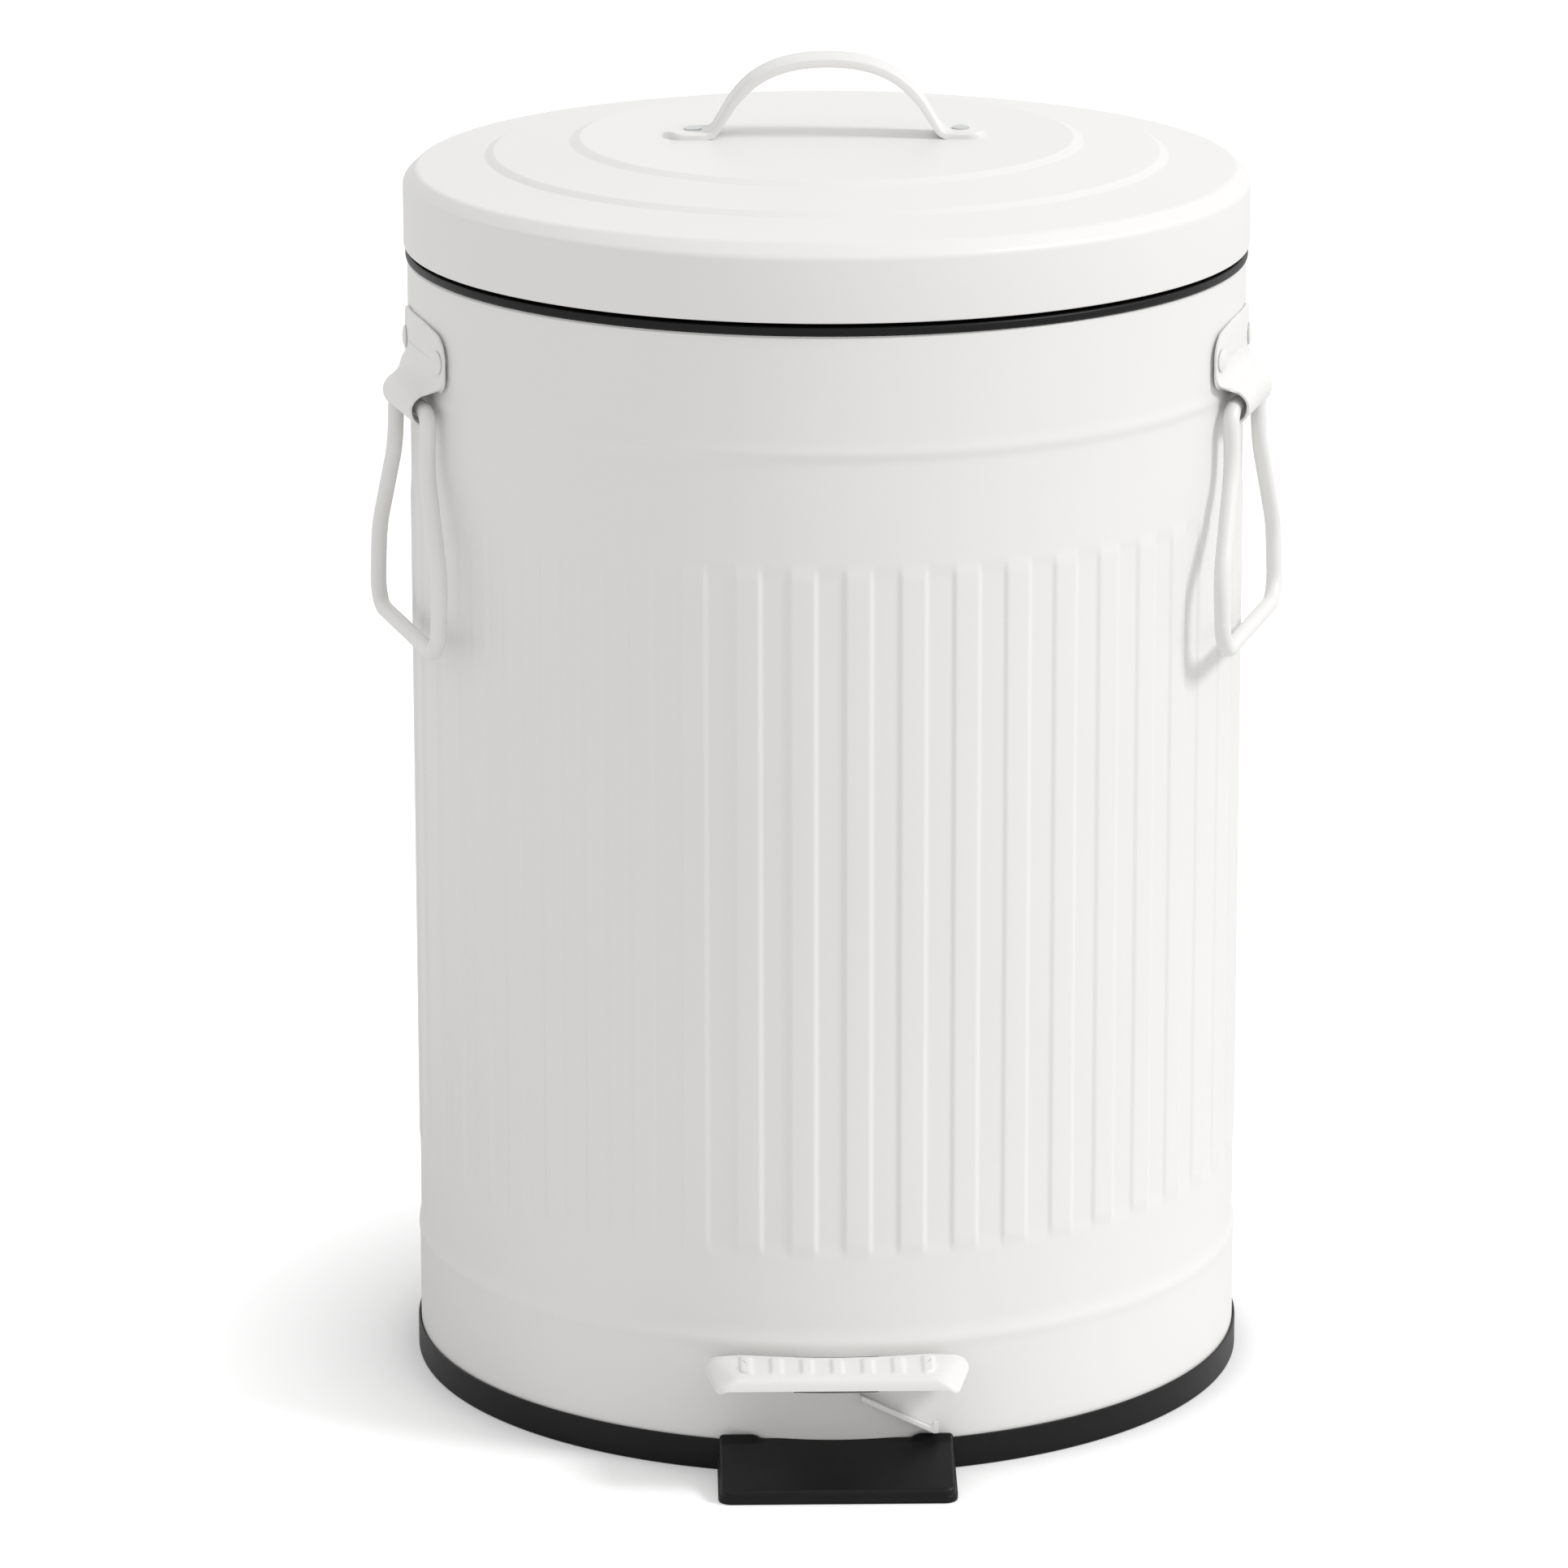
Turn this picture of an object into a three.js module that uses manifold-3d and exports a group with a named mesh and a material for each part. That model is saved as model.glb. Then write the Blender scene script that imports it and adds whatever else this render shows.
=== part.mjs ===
// Pedal bin with a fluted, powder-coated steel body, a hinged lid and two wire bails.
// Millimetres. Z is up, the floor is z = 0, and the pedal is on the -Y side.
import * as THREE from "three";
import { mergeVertices } from "three/addons/utils/BufferGeometryUtils.js";
import Module from "manifold-3d";

const wasm = await Module();
wasm.setup();

// ---- driving sizes --------------------------------------------------------------------
const FIT = 0.3; // clearance between pieces that are cut or turned to fit each other
const LID_SHEET = 0.8;
const BODY_SHEET = 1.2; // wall of the body with its rolled edges
const PLATE = 1.2; // steel of the brackets and of the bottom disc
const ROUND = 64; // sides of the large turned pieces

// Body: a plain wall with a band rolled out a little at each end, and a bead beside each band.
const WALL_R = 124.8;
const BAND_R = WALL_R + 0.4;
const BEAD_R = BAND_R + 0.2;
const BODY_INNER_R = WALL_R - BODY_SHEET;
const BODY_BOTTOM_Z = 3;
const BODY_TOP_Z = 341.5;
const LOWER_BEAD_Z = 40;
const UPPER_BEAD_Z = BODY_TOP_Z - 34.2;

const FLUTE_COUNT = 49; // one embossed rib every 16 mm of sheet
const FLUTE_PHASE = 2.88; // degrees from the front centre to the nearest rib
const FLUTE_LOW_Z = LOWER_BEAD_Z + 26;
const FLUTE_HIGH_Z = UPPER_BEAD_Z - 32.3;
const FLUTE_RUNOUT = 5;
const FLUTE_CREST = 0.36; // how far a rib stands out of the plain wall
const FLUTE_VALLEY = 0.3; // how far the strip between two ribs is set back

// Base ring: a channel round the body's lower edge, with a ledge inside for the bottom disc.
const RING_R = BAND_R + FIT + 0.6;
const RING_TOP_Z = 9.7;
const RING_LEDGE_R = BODY_INNER_R - 2.6;
const RING_LEDGE_Z = 8;
const RING_LEDGE_WIDTH = 3;
const DISC_TOP_Z = RING_LEDGE_Z + PLATE;

// Rim collar: the black ring on the body's upper edge.
const COLLAR_R = BAND_R + 0.5;
const COLLAR_LOW_Z = BODY_TOP_Z + FIT;
const COLLAR_TOP_Z = COLLAR_LOW_Z + 2.5;
const COLLAR_WIDTH = 5.9;
const COLLAR_SKIRT = 1.9;
const COLLAR_SKIRT_DROP = 11.5;

// Lid: [distance in from its outside, height above the top of its skirt] of each bend.
const LID_R = BAND_R + 1;
const LID_BOTTOM_Z = COLLAR_TOP_Z + 1.1;
const LID_SKIRT_TOP_Z = LID_BOTTOM_Z + 19;
const LID_SHOULDER = 3.8;
const LID_STEPS = [[4, 3.8], [24.5, 6.8], [27, 8.2], [49.7, 10.9], [52.8, 12.2]];
const LID_TOP_Z = LID_SKIRT_TOP_Z + LID_STEPS[4][1];

const GRIP_RISE = 23.8; // top of the handle above the lid
const GRIP_HALF = 46.7;
const GRIP_WIDTH = 14;
const GRIP_THICK = 2;
const GRIP_RIVET_X = GRIP_HALF - 6.9;

// Side bails and their brackets.
const BAIL_AZIMUTH = { left: -74.3, right: 73.7 }; // degrees from the pedal's middle line
const BAIL_WIRE_R = 2.4;
const BAIL_BEND = 5;
const BAIL_CORNER = 9;
const BAIL_SWEEP = 22; // soft bends of the legs
const BAIL_TOP_HALF = 19.2;
const BAIL_BOTTOM_HALF = 36.7;
const BAIL_DROP = 69.5;
const BAIL_LEAN = 2; // degrees that the loop stands away from the body
const BAIL_SPLAY = [17, 46]; // where the legs begin and end to spread, below the axis
const BAIL_STUB = 7; // from the middle of the bracket to the end of the wire
const BRACKET_R = BAND_R + 0.4;
const BRACKET_HALF = 24.5;
const BRACKET_LOW_Z = UPPER_BEAD_Z + 0.2;
const BRACKET_HIGH_Z = BRACKET_LOW_Z + 23;
const BRACKET_CORNER = 7;
const BRACKET_RIVET_ARC = BRACKET_HALF - 4.5;
const BAIL_AXIS_R = BRACKET_R + BAIL_WIRE_R;
const BAIL_AXIS_Z = BRACKET_LOW_Z - BAIL_WIRE_R - 1.1;
const CURL_HALF = BAIL_TOP_HALF - 3.7; // leaves room for the bend of the wire
const CURL_INNER = BAIL_WIRE_R + 0.35;
const TONGUE = 1;

// Rear hinge.
const PIN_R = 2;
const BARREL_R = 4.1;
const HINGE_Y = LID_R + BARREL_R + 0.9;
const HINGE_Z = BODY_TOP_Z - 1;
const HINGE_ARM_HALF = 9;
const HINGE_BARREL_HALF = HINGE_ARM_HALF + 3.9;
const HINGE_EAR = 2;
const HINGE_EAR_X = HINGE_BARREL_HALF + 0.7;
const HINGE_PLATE_HALF = HINGE_EAR_X + HINGE_EAR + 3.4;
const HINGE_PLATE_LOW_Z = HINGE_Z - 29.5;
const HINGE_PLATE_HIGH_Z = HINGE_Z - 7.5;
const HINGE_RIVET_ARC = 10;
const HINGE_RIVET_Z = HINGE_PLATE_LOW_Z + 8;
const ARM_Y = LID_R + 0.4;
const ARM_THICK = 1.5;
const ARM_HEIGHT = 15.6; // above the lid's lower edge
const ARM_RIVET_X = 5;
const ARM_RIVET_Z = LID_BOTTOM_Z + ARM_HEIGHT - 6;
const TAB_LOW_Z = HINGE_Z - 2.5;
const TAB_THICK = 1.6;
const NOTCH_HALF = HINGE_ARM_HALF + 2.5;
const NOTCH_Z = TAB_LOW_Z - 3;

// Pedal, lever and lift rod.
const PEDAL_REAR_R = BAND_R + 1.3; // its rear edge is curved to lie along the body
const PEDAL_FRONT_Y = -(BAND_R + 22.3);
const PEDAL_REAR_HALF = 39.5;
const PEDAL_FRONT_HALF = 35.4;
const PEDAL_SLOPE = 7.5; // how far the tread is set in from the lower edge at each side
const PEDAL_LOW_Z = 33;
const PEDAL_HIGH_Z = PEDAL_LOW_Z + 4.2;
const PEDAL_SHEET = 1.5;
const PEDAL_CORNER = 4;
const PEDAL_RIB_PITCH = 8.9;
const PEDAL_RIB_COUNT = 7;
const PEDAL_RIB_HEIGHT = 0.7;
const LEVER_THICK = 2;
const LEVER_HALF = 11;
const LEVER_LOW_Z = PEDAL_HIGH_Z - PEDAL_SHEET - LEVER_THICK; // welded under the tread
const LEVER_PIVOT_Y = -37;
const LEVER_BARREL_R = PIN_R + 2.6;
const LEVER_PIVOT_Z = LEVER_LOW_Z - 3;
const LEVER_TRAVEL = 8.6; // room below the lever where it passes the wall
const SLOT_PLAY = 0.6; // room above it
const ROD_R = 2.25;
const ROD_Y = BODY_INNER_R - 6.1;
const ROD_PLAY = 0.4; // above the lever and below the tab
const GUIDE_HEIGHT = 4;
const GUIDE_LOW_Z = 70;
const GUIDE_HIGH_Z = BODY_TOP_Z - 53.5;

const STOP_REACH = 4.6;
const STOP_THICK = 0.9;
const STOP_FROM = { azimuth: 4.4, z: PEDAL_LOW_Z - 8.8 };
const STOP_TO = { azimuth: 13.4, z: RING_TOP_Z + 4.6 };

const FOOT_HALF = 35;
const FOOT_FRONT_Y = -(RING_R + 25.4);
const FOOT_REAR_Y = -(RING_R - 2.9);
const FOOT_FRONT_Z = 3.9;
const FOOT_REAR_Z = RING_TOP_Z + 1.1;
const FOOT_WALL = 2.4;
const FOOT_CORNER = 4;

// Bucket that hangs by its rim on the collar.
const BUCKET_WALL = 1.5;
const BUCKET_HIGH_R = BODY_INNER_R - 15.1;
const BUCKET_LOW_R = BUCKET_HIGH_R - 8.5;
const BUCKET_LOW_Z = 52;
const BUCKET_RIM_R = BODY_INNER_R - 0.1;
const BUCKET_RIM_Z = COLLAR_TOP_Z + 2;
const BUCKET_BAIL_R = 1.5;
const BUCKET_BAIL_Z = COLLAR_TOP_Z - 10.3;
const BUCKET_BAIL_INSET = 6;
const LINER_Z = LID_BOTTOM_Z + 4.6;
const LINER_THICK = 1.6;

// ---- materials ------------------------------------------------------------------------
const WHITE = ["white powder coat", 0xe9e8e4, 0.0, 0.4];
const BLACK = ["black plastic", 0x232323, 0.0, 0.5];
const STEEL = ["zinc-plated steel", 0xb4b6b8, 0.9, 0.35];

const group = new THREE.Group();
group.name = "pedal_bin";

// ---- solid helpers --------------------------------------------------------------------
const radians = THREE.MathUtils.degToRad;

/** Positions and triangles of a geometry with shared corners and no collapsed triangles. */
function welded(geometry) {
  const bare = new THREE.BufferGeometry();
  bare.setAttribute("position", geometry.getAttribute("position"));
  bare.setIndex(geometry.getIndex());
  const merged = mergeVertices(bare, 1e-4);
  const source = merged.getIndex().array;
  const kept = [];
  for (let i = 0; i < source.length; i += 3) {
    const [a, b, c] = [source[i], source[i + 1], source[i + 2]];
    if (a !== b && b !== c && c !== a) kept.push(a, b, c);
  }
  merged.setIndex(kept);
  return merged;
}

/** Signed volume: negative when the triangles face inwards. */
function volume(geometry) {
  const p = geometry.getAttribute("position");
  const index = geometry.getIndex().array;
  const [a, b, c] = [new THREE.Vector3(), new THREE.Vector3(), new THREE.Vector3()];
  let sum = 0;
  for (let i = 0; i < index.length; i += 3) {
    a.fromBufferAttribute(p, index[i]);
    b.fromBufferAttribute(p, index[i + 1]);
    c.fromBufferAttribute(p, index[i + 2]);
    sum += a.dot(b.cross(c)) / 6;
  }
  return sum;
}

/** A closed solid whose faces point outwards. */
function solid(geometry) {
  const result = welded(geometry);
  if (volume(result) < 0) {
    const index = result.getIndex().array;
    for (let i = 0; i < index.length; i += 3) {
      [index[i], index[i + 1]] = [index[i + 1], index[i]];
    }
  }
  return result;
}

function manifold(geometry) {
  const ready = solid(geometry);
  return new wasm.Manifold(new wasm.Mesh({
    numProp: 3,
    vertProperties: new Float32Array(ready.getAttribute("position").array),
    triVerts: new Uint32Array(ready.getIndex().array),
  }));
}

/** The first solid with `added` joined to it and `removed` cut out of it. */
function combine(first, added = [], removed = []) {
  let body = manifold(first);
  for (const piece of added) body = body.add(manifold(piece));
  for (const piece of removed) body = body.subtract(manifold(piece));
  return fromManifold(body);
}

function common(first, second) {
  return fromManifold(manifold(first).intersect(manifold(second)));
}

function fromManifold(body) {
  const mesh = body.getMesh();
  const geometry = new THREE.BufferGeometry();
  geometry.setAttribute("position", new THREE.BufferAttribute(mesh.vertProperties, 3));
  geometry.setIndex(new THREE.BufferAttribute(mesh.triVerts, 1));
  return geometry;
}

function box(x0, x1, y0, y1, z0, z1) {
  const geometry = new THREE.BoxGeometry(x1 - x0, y1 - y0, z1 - z0);
  return geometry.translate((x0 + x1) / 2, (y0 + y1) / 2, (z0 + z1) / 2);
}

/** Solid of revolution about Z; the [radius, height] profile starts and ends on the axis. */
function turned(profile, segments) {
  const points = profile.map(([r, z]) => new THREE.Vector2(r, z));
  return solid(new THREE.LatheGeometry(points, segments).rotateX(Math.PI / 2));
}

/** Ring of revolution about Z; the profile is closed back to its first point. */
function ring(profile, segments) {
  return turned([...profile, profile[0]], segments);
}

/** A bar of round section between two points. */
function bar(from, to, radius, segments = 16) {
  const length = from.distanceTo(to);
  const geometry = new THREE.CylinderGeometry(radius, radius, length, segments);
  const turn = new THREE.Quaternion().setFromUnitVectors(
    new THREE.Vector3(0, 1, 0), to.clone().sub(from).normalize());
  const middle = from.clone().add(to).multiplyScalar(0.5);
  return geometry.applyQuaternion(turn).translate(middle.x, middle.y, middle.z);
}

function barX(x0, x1, y, z, radius, segments = 16) {
  return bar(new THREE.Vector3(x0, y, z), new THREE.Vector3(x1, y, z), radius, segments);
}

function barZ(x, y, z0, z1, radius, segments = 16) {
  return bar(new THREE.Vector3(x, y, z0), new THREE.Vector3(x, y, z1), radius, segments);
}

/**
 * Skin through rings that have the same number of points. With an outline (the ring in two
 * dimensions) both ends are capped; without one the last ring joins the first.
 */
function loft(rings, outline) {
  if (outline && THREE.ShapeUtils.isClockWise(outline)) {
    return loft(rings.map((points) => [...points].reverse()), [...outline].reverse());
  }
  const count = rings[0].length;
  const corners = rings.flat().flatMap((p) => [p.x, p.y, p.z]);
  const index = [];
  const last = outline ? rings.length - 1 : rings.length;
  for (let i = 0; i < last; i += 1) {
    const low = i * count;
    const high = ((i + 1) % rings.length) * count;
    for (let j = 0; j < count; j += 1) {
      const k = (j + 1) % count;
      index.push(low + j, low + k, high + k, low + j, high + k, high + j);
    }
  }
  if (outline) {
    const end = (rings.length - 1) * count;
    for (const [a, b, c] of THREE.ShapeUtils.triangulateShape(outline, [])) {
      index.push(a, c, b, end + a, end + b, end + c);
    }
  }
  const geometry = new THREE.BufferGeometry();
  geometry.setAttribute("position", new THREE.Float32BufferAttribute(corners, 3));
  geometry.setIndex(index);
  return solid(geometry);
}

/** Outline in the YZ plane pushed along X from x0 to x1. */
function pushedX(outline, x0, x1) {
  const flat = outline.map(([y, z]) => new THREE.Vector2(y, z));
  const rings = [x0, x1].map((x) => flat.map((p) => new THREE.Vector3(x, p.x, p.y)));
  return loft(rings, flat);
}

/** Points of a polyline whose inner corners are rounded to the given radii. */
function rounded(corners, radii, step = 18) {
  const points = [corners[0].clone()];
  for (let i = 1; i < corners.length - 1; i += 1) {
    const corner = corners[i];
    const back = corners[i - 1].clone().sub(corner).normalize();
    const ahead = corners[i + 1].clone().sub(corner).normalize();
    const half = back.angleTo(ahead) / 2;
    const radius = radii[i - 1];
    const middle = back.clone().add(ahead).normalize();
    const centre = corner.clone().addScaledVector(middle, radius / Math.sin(half));
    const from = corner.clone().addScaledVector(back, radius / Math.tan(half)).sub(centre);
    const to = corner.clone().addScaledVector(ahead, radius / Math.tan(half)).sub(centre);
    const sweep = from.angleTo(to);
    const steps = Math.max(2, Math.ceil(THREE.MathUtils.radToDeg(sweep) / step));
    for (let k = 0; k <= steps; k += 1) {
      const t = k / steps;
      const a = Math.sin((1 - t) * sweep) / Math.sin(sweep);
      const b = Math.sin(t * sweep) / Math.sin(sweep);
      points.push(centre.clone().addScaledVector(from, a).addScaledVector(to, b));
    }
  }
  points.push(corners[corners.length - 1].clone());
  return points;
}

/** A path that visits its points one after the other, however far apart they are. */
class Stations extends THREE.Curve {
  constructor(points) {
    super();
    this.points = points;
  }

  getPoint(t) {
    const place = Math.min(t, 1) * (this.points.length - 1);
    const index = Math.min(Math.floor(place), this.points.length - 2);
    return this.points[index].clone().lerp(this.points[index + 1], place - index);
  }

  getPointAt(t) {
    return this.getPoint(t);
  }

  getTangentAt(t) {
    const index = Math.round(t * (this.points.length - 1));
    const before = this.points[Math.max(index - 1, 0)];
    const after = this.points[Math.min(index + 1, this.points.length - 1)];
    return after.clone().sub(before).normalize();
  }
}

/** Round wire along the points. */
function wire(points, radius, segments = 8) {
  const section = new THREE.Shape();
  for (let i = 0; i < segments; i += 1) {
    const angle = (2 * Math.PI * i) / segments;
    const [x, y] = [radius * Math.cos(angle), radius * Math.sin(angle)];
    if (i === 0) section.moveTo(x, y);
    else section.lineTo(x, y);
  }
  return solid(new THREE.ExtrudeGeometry(section, {
    steps: points.length - 1,
    extrudePath: new Stations(points),
    curveSegments: 1,
  }));
}

/** Rectangle with rounded corners as a list of 2-D points. */
function roundedRectangle(halfWidth, low, high, radius, steps = 4) {
  const centres = [
    [halfWidth - radius, low + radius, -90],
    [halfWidth - radius, high - radius, 0],
    [-halfWidth + radius, high - radius, 90],
    [-halfWidth + radius, low + radius, 180],
  ];
  const points = [];
  for (const [x, y, start] of centres) {
    for (let i = 0; i <= steps; i += 1) {
      const angle = radians(start + (90 * i) / steps);
      points.push(new THREE.Vector2(x + radius * Math.cos(angle), y + radius * Math.sin(angle)));
    }
  }
  return points;
}

/** Point at `radius` in the plane facing `azimuth`, moved `across` along that plane. */
function onSide(azimuth, radius, across, z) {
  const a = radians(azimuth);
  return new THREE.Vector3(
    radius * Math.sin(a) + across * Math.cos(a),
    -radius * Math.cos(a) + across * Math.sin(a),
    z);
}

/** Sheet bent round the body: a rounded rectangle seen from outside at `azimuth`. */
function wrappedPlate(azimuth, halfWidth, low, high, corner) {
  const tube = ring([
    [BRACKET_R, low - 5], [BRACKET_R + PLATE, low - 5],
    [BRACKET_R + PLATE, high + 5], [BRACKET_R, high + 5],
  ], 144);
  const outline = roundedRectangle(halfWidth, low, high, corner);
  const rings = [BRACKET_R - 12, BRACKET_R + 6].map(
    (r) => outline.map((p) => onSide(azimuth, r, p.x, p.y)));
  return common(tube, loft(rings, outline));
}

/** Rivet from outside (`at`, underside of its head) inwards through `grip` of metal. */
function rivet(at, outwards, grip, scale = 1) {
  const shank = 1.5 * scale;
  const profile = [
    [0, -grip - 0.9 * scale], [2.5 * scale, -grip - 0.9 * scale], [2.5 * scale, -grip],
    [shank, -grip], [shank, 0], [3.5 * scale, 0], [3.1 * scale, 0.8 * scale],
    [1.7 * scale, 1.25 * scale], [0, 1.4 * scale],
  ];
  const turn = new THREE.Quaternion().setFromUnitVectors(new THREE.Vector3(0, 0, 1), outwards);
  return turned(profile, 14).applyQuaternion(turn).translate(at.x, at.y, at.z);
}

/** The clearance hole for such a rivet. */
function rivetHole(at, outwards, scale = 1) {
  const from = at.clone().addScaledVector(outwards, -8);
  const to = at.clone().addScaledVector(outwards, 4);
  return bar(from, to, 1.5 * scale + FIT, 12);
}

function outwardsAt(azimuth) {
  return onSide(azimuth, 1, 0, 0);
}

/** Adds a named piece to the assembly. */
function piece(name, geometry, [material, color, metalness, roughness]) {
  const mesh = new THREE.Mesh(
    geometry, new THREE.MeshStandardMaterial({ name: material, color, metalness, roughness }));
  mesh.name = name;
  group.add(mesh);
}

// ---- rivet places shared by the pieces they hold ----------------------------------------
const HEAD_R = BRACKET_R + PLATE + 0.02;
const BODY_GRIP = HEAD_R - BODY_INNER_R + 0.06;
const arcDegrees = (arc) => THREE.MathUtils.radToDeg(arc / BRACKET_R);

/** The rivets through the body's wall, named by what they hold. */
const bodyRivets = [];
for (const side of ["left", "right"]) {
  for (const [end, offset] of [["front", -1], ["rear", 1]]) {
    const middle = BAIL_AZIMUTH[side];
    bodyRivets.push({
      name: `${side}_bracket_rivet_${end}`,
      azimuth: middle + Math.sign(middle) * offset * arcDegrees(BRACKET_RIVET_ARC),
      z: (BRACKET_LOW_Z + BRACKET_HIGH_Z) / 2,
    });
  }
}
for (const [side, offset] of [["left", 1], ["right", -1]]) {
  bodyRivets.push({
    name: `hinge_rivet_${side}`,
    azimuth: 180 + offset * arcDegrees(HINGE_RIVET_ARC),
    z: HINGE_RIVET_Z,
  });
}
for (const item of bodyRivets) {
  item.at = onSide(item.azimuth, HEAD_R, 0, item.z);
  item.out = outwardsAt(item.azimuth);
}
const bodyRivetHoles = bodyRivets.map((item) => rivetHole(item.at, item.out));

// ---- body shell -------------------------------------------------------------------------
/** Edges of one rib as shares of the pitch, and whether each lies out on the crest or not. */
const RIB_EDGES = [[-0.31, false], [-0.18, true], [0.18, true], [0.31, false]];

function bodyLevel(z, radius, fluting) {
  const points = [];
  const pitch = 360 / FLUTE_COUNT;
  for (let i = 0; i < FLUTE_COUNT; i += 1) {
    for (const [share, crest] of RIB_EDGES) {
      const lift = crest ? FLUTE_CREST : -FLUTE_VALLEY;
      const azimuth = FLUTE_PHASE + (i + share) * pitch;
      points.push(onSide(azimuth, radius + fluting * lift, 0, z));
    }
  }
  return points;
}

const bodySkin = loft([
  bodyLevel(BODY_BOTTOM_Z, BAND_R, 0),
  bodyLevel(LOWER_BEAD_Z - 3, BAND_R, 0),
  bodyLevel(LOWER_BEAD_Z, BEAD_R, 0),
  bodyLevel(LOWER_BEAD_Z + 5.5, WALL_R, 0),
  bodyLevel(FLUTE_LOW_Z, WALL_R, 0),
  bodyLevel(FLUTE_LOW_Z + FLUTE_RUNOUT, WALL_R, 1),
  bodyLevel(FLUTE_HIGH_Z - FLUTE_RUNOUT, WALL_R, 1),
  bodyLevel(FLUTE_HIGH_Z, WALL_R, 0),
  bodyLevel(UPPER_BEAD_Z - 3, WALL_R, 0),
  bodyLevel(UPPER_BEAD_Z, BEAD_R, 0),
  bodyLevel(UPPER_BEAD_Z + 3.7, BAND_R, 0),
  bodyLevel(BODY_TOP_Z, BAND_R, 0),
  bodyLevel(BODY_TOP_Z, BODY_INNER_R, 0),
  bodyLevel(BODY_BOTTOM_Z, BODY_INNER_R, 0),
]);
const pedalSlot = box(
  -LEVER_HALF - 1.5, LEVER_HALF + 1.5, -BEAD_R - 5, -BODY_INNER_R + 6,
  LEVER_LOW_Z - LEVER_TRAVEL, LEVER_LOW_Z + LEVER_THICK + SLOT_PLAY);
const rearNotch = box(
  -NOTCH_HALF, NOTCH_HALF, BODY_INNER_R - 12, BEAD_R + 5, NOTCH_Z, LID_BOTTOM_Z);
piece("body_shell", combine(bodySkin, [], [pedalSlot, rearNotch, ...bodyRivetHoles]), WHITE);

// ---- base -------------------------------------------------------------------------------
const RING_WEB_Z = BODY_BOTTOM_Z - FIT;
const RING_CHAMFER = 0.5;
piece("base_ring", ring([
  [RING_LEDGE_R - RING_LEDGE_WIDTH, 0], [RING_R - RING_CHAMFER, 0], [RING_R, RING_CHAMFER],
  [RING_R, RING_TOP_Z - RING_CHAMFER], [RING_R - RING_CHAMFER, RING_TOP_Z],
  [BAND_R + FIT, RING_TOP_Z], [BAND_R + FIT, RING_WEB_Z], [RING_LEDGE_R, RING_WEB_Z],
  [RING_LEDGE_R, RING_LEDGE_Z], [RING_LEDGE_R - RING_LEDGE_WIDTH, RING_LEDGE_Z],
], ROUND), BLACK);

piece("bottom_disc", turned([
  [0, RING_LEDGE_Z], [BODY_INNER_R - FIT, RING_LEDGE_Z], [BODY_INNER_R - FIT, DISC_TOP_Z],
  [0, DISC_TOP_Z],
], ROUND), STEEL);

/** Wedge that slopes up from the front to the rear, with round front corners. */
function wedge(inset, low, frontHigh, rearHigh) {
  const half = FOOT_HALF - inset;
  const front = FOOT_FRONT_Y + inset;
  const corner = (side, angle) => new THREE.Vector2(
    side * (half - FOOT_CORNER) + FOOT_CORNER * Math.cos(radians(angle)),
    front + FOOT_CORNER + FOOT_CORNER * Math.sin(radians(angle)));
  const outline = [
    ...[-90, -60, -30, 0].map((angle) => corner(1, angle)),
    new THREE.Vector2(half, FOOT_REAR_Y), new THREE.Vector2(-half, FOOT_REAR_Y),
    ...[180, 210, 240, 270].map((angle) => corner(-1, angle)),
  ];
  const height = (y) => frontHigh
    + ((rearHigh - frontHigh) * (y - FOOT_FRONT_Y)) / (FOOT_REAR_Y - FOOT_FRONT_Y);
  const bottom = outline.map((p) => new THREE.Vector3(p.x, p.y, low));
  const top = outline.map((p) => new THREE.Vector3(p.x, p.y, height(p.y)));
  return loft([bottom, top], outline);
}

// The foot keeps the bin from tipping when the pedal is pressed. It is a hollow wedge whose
// rear is curved to lie along the base ring, and which laps over it a little at each side.
piece("front_foot", combine(
  wedge(0, 0, FOOT_FRONT_Z, FOOT_REAR_Z),
  [],
  [
    wedge(FOOT_WALL, -1, FOOT_FRONT_Z - FOOT_WALL, FOOT_REAR_Z - FOOT_WALL),
    turned([
      [0, -1], [RING_R + FIT, -1], [RING_R + FIT, RING_TOP_Z + FIT], [BAND_R + FIT, RING_TOP_Z + FIT],
      [BAND_R + FIT, FOOT_REAR_Z + 5], [0, FOOT_REAR_Z + 5],
    ], 144),
  ]), BLACK);

// ---- pedal and lever ----------------------------------------------------------------------
/** The tray's outline: round corners in front, and a rear edge that follows the body. */
function pedalOutline(inset) {
  const rearHalf = PEDAL_REAR_HALF - inset;
  const frontHalf = PEDAL_FRONT_HALF - inset;
  const corner = (angle) => new THREE.Vector2(
    frontHalf - PEDAL_CORNER + PEDAL_CORNER * Math.cos(radians(angle)),
    PEDAL_FRONT_Y + PEDAL_CORNER + PEDAL_CORNER * Math.sin(radians(angle)));
  const alongBody = (x, back) => new THREE.Vector2(
    x, -Math.sqrt(PEDAL_REAR_R * PEDAL_REAR_R - x * x) - back);
  const right = [
    ...[0.15, 0.3, 0.45, 0.6, 0.75, 0.9, 0.97].map((share) => alongBody(share * rearHalf, 0)),
    alongBody(rearHalf, 2.5),
    ...[0, -30, -60, -90].map(corner),
  ];
  return [...right, ...right.map((p) => new THREE.Vector2(-p.x, p.y)).reverse()];
}

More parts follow.
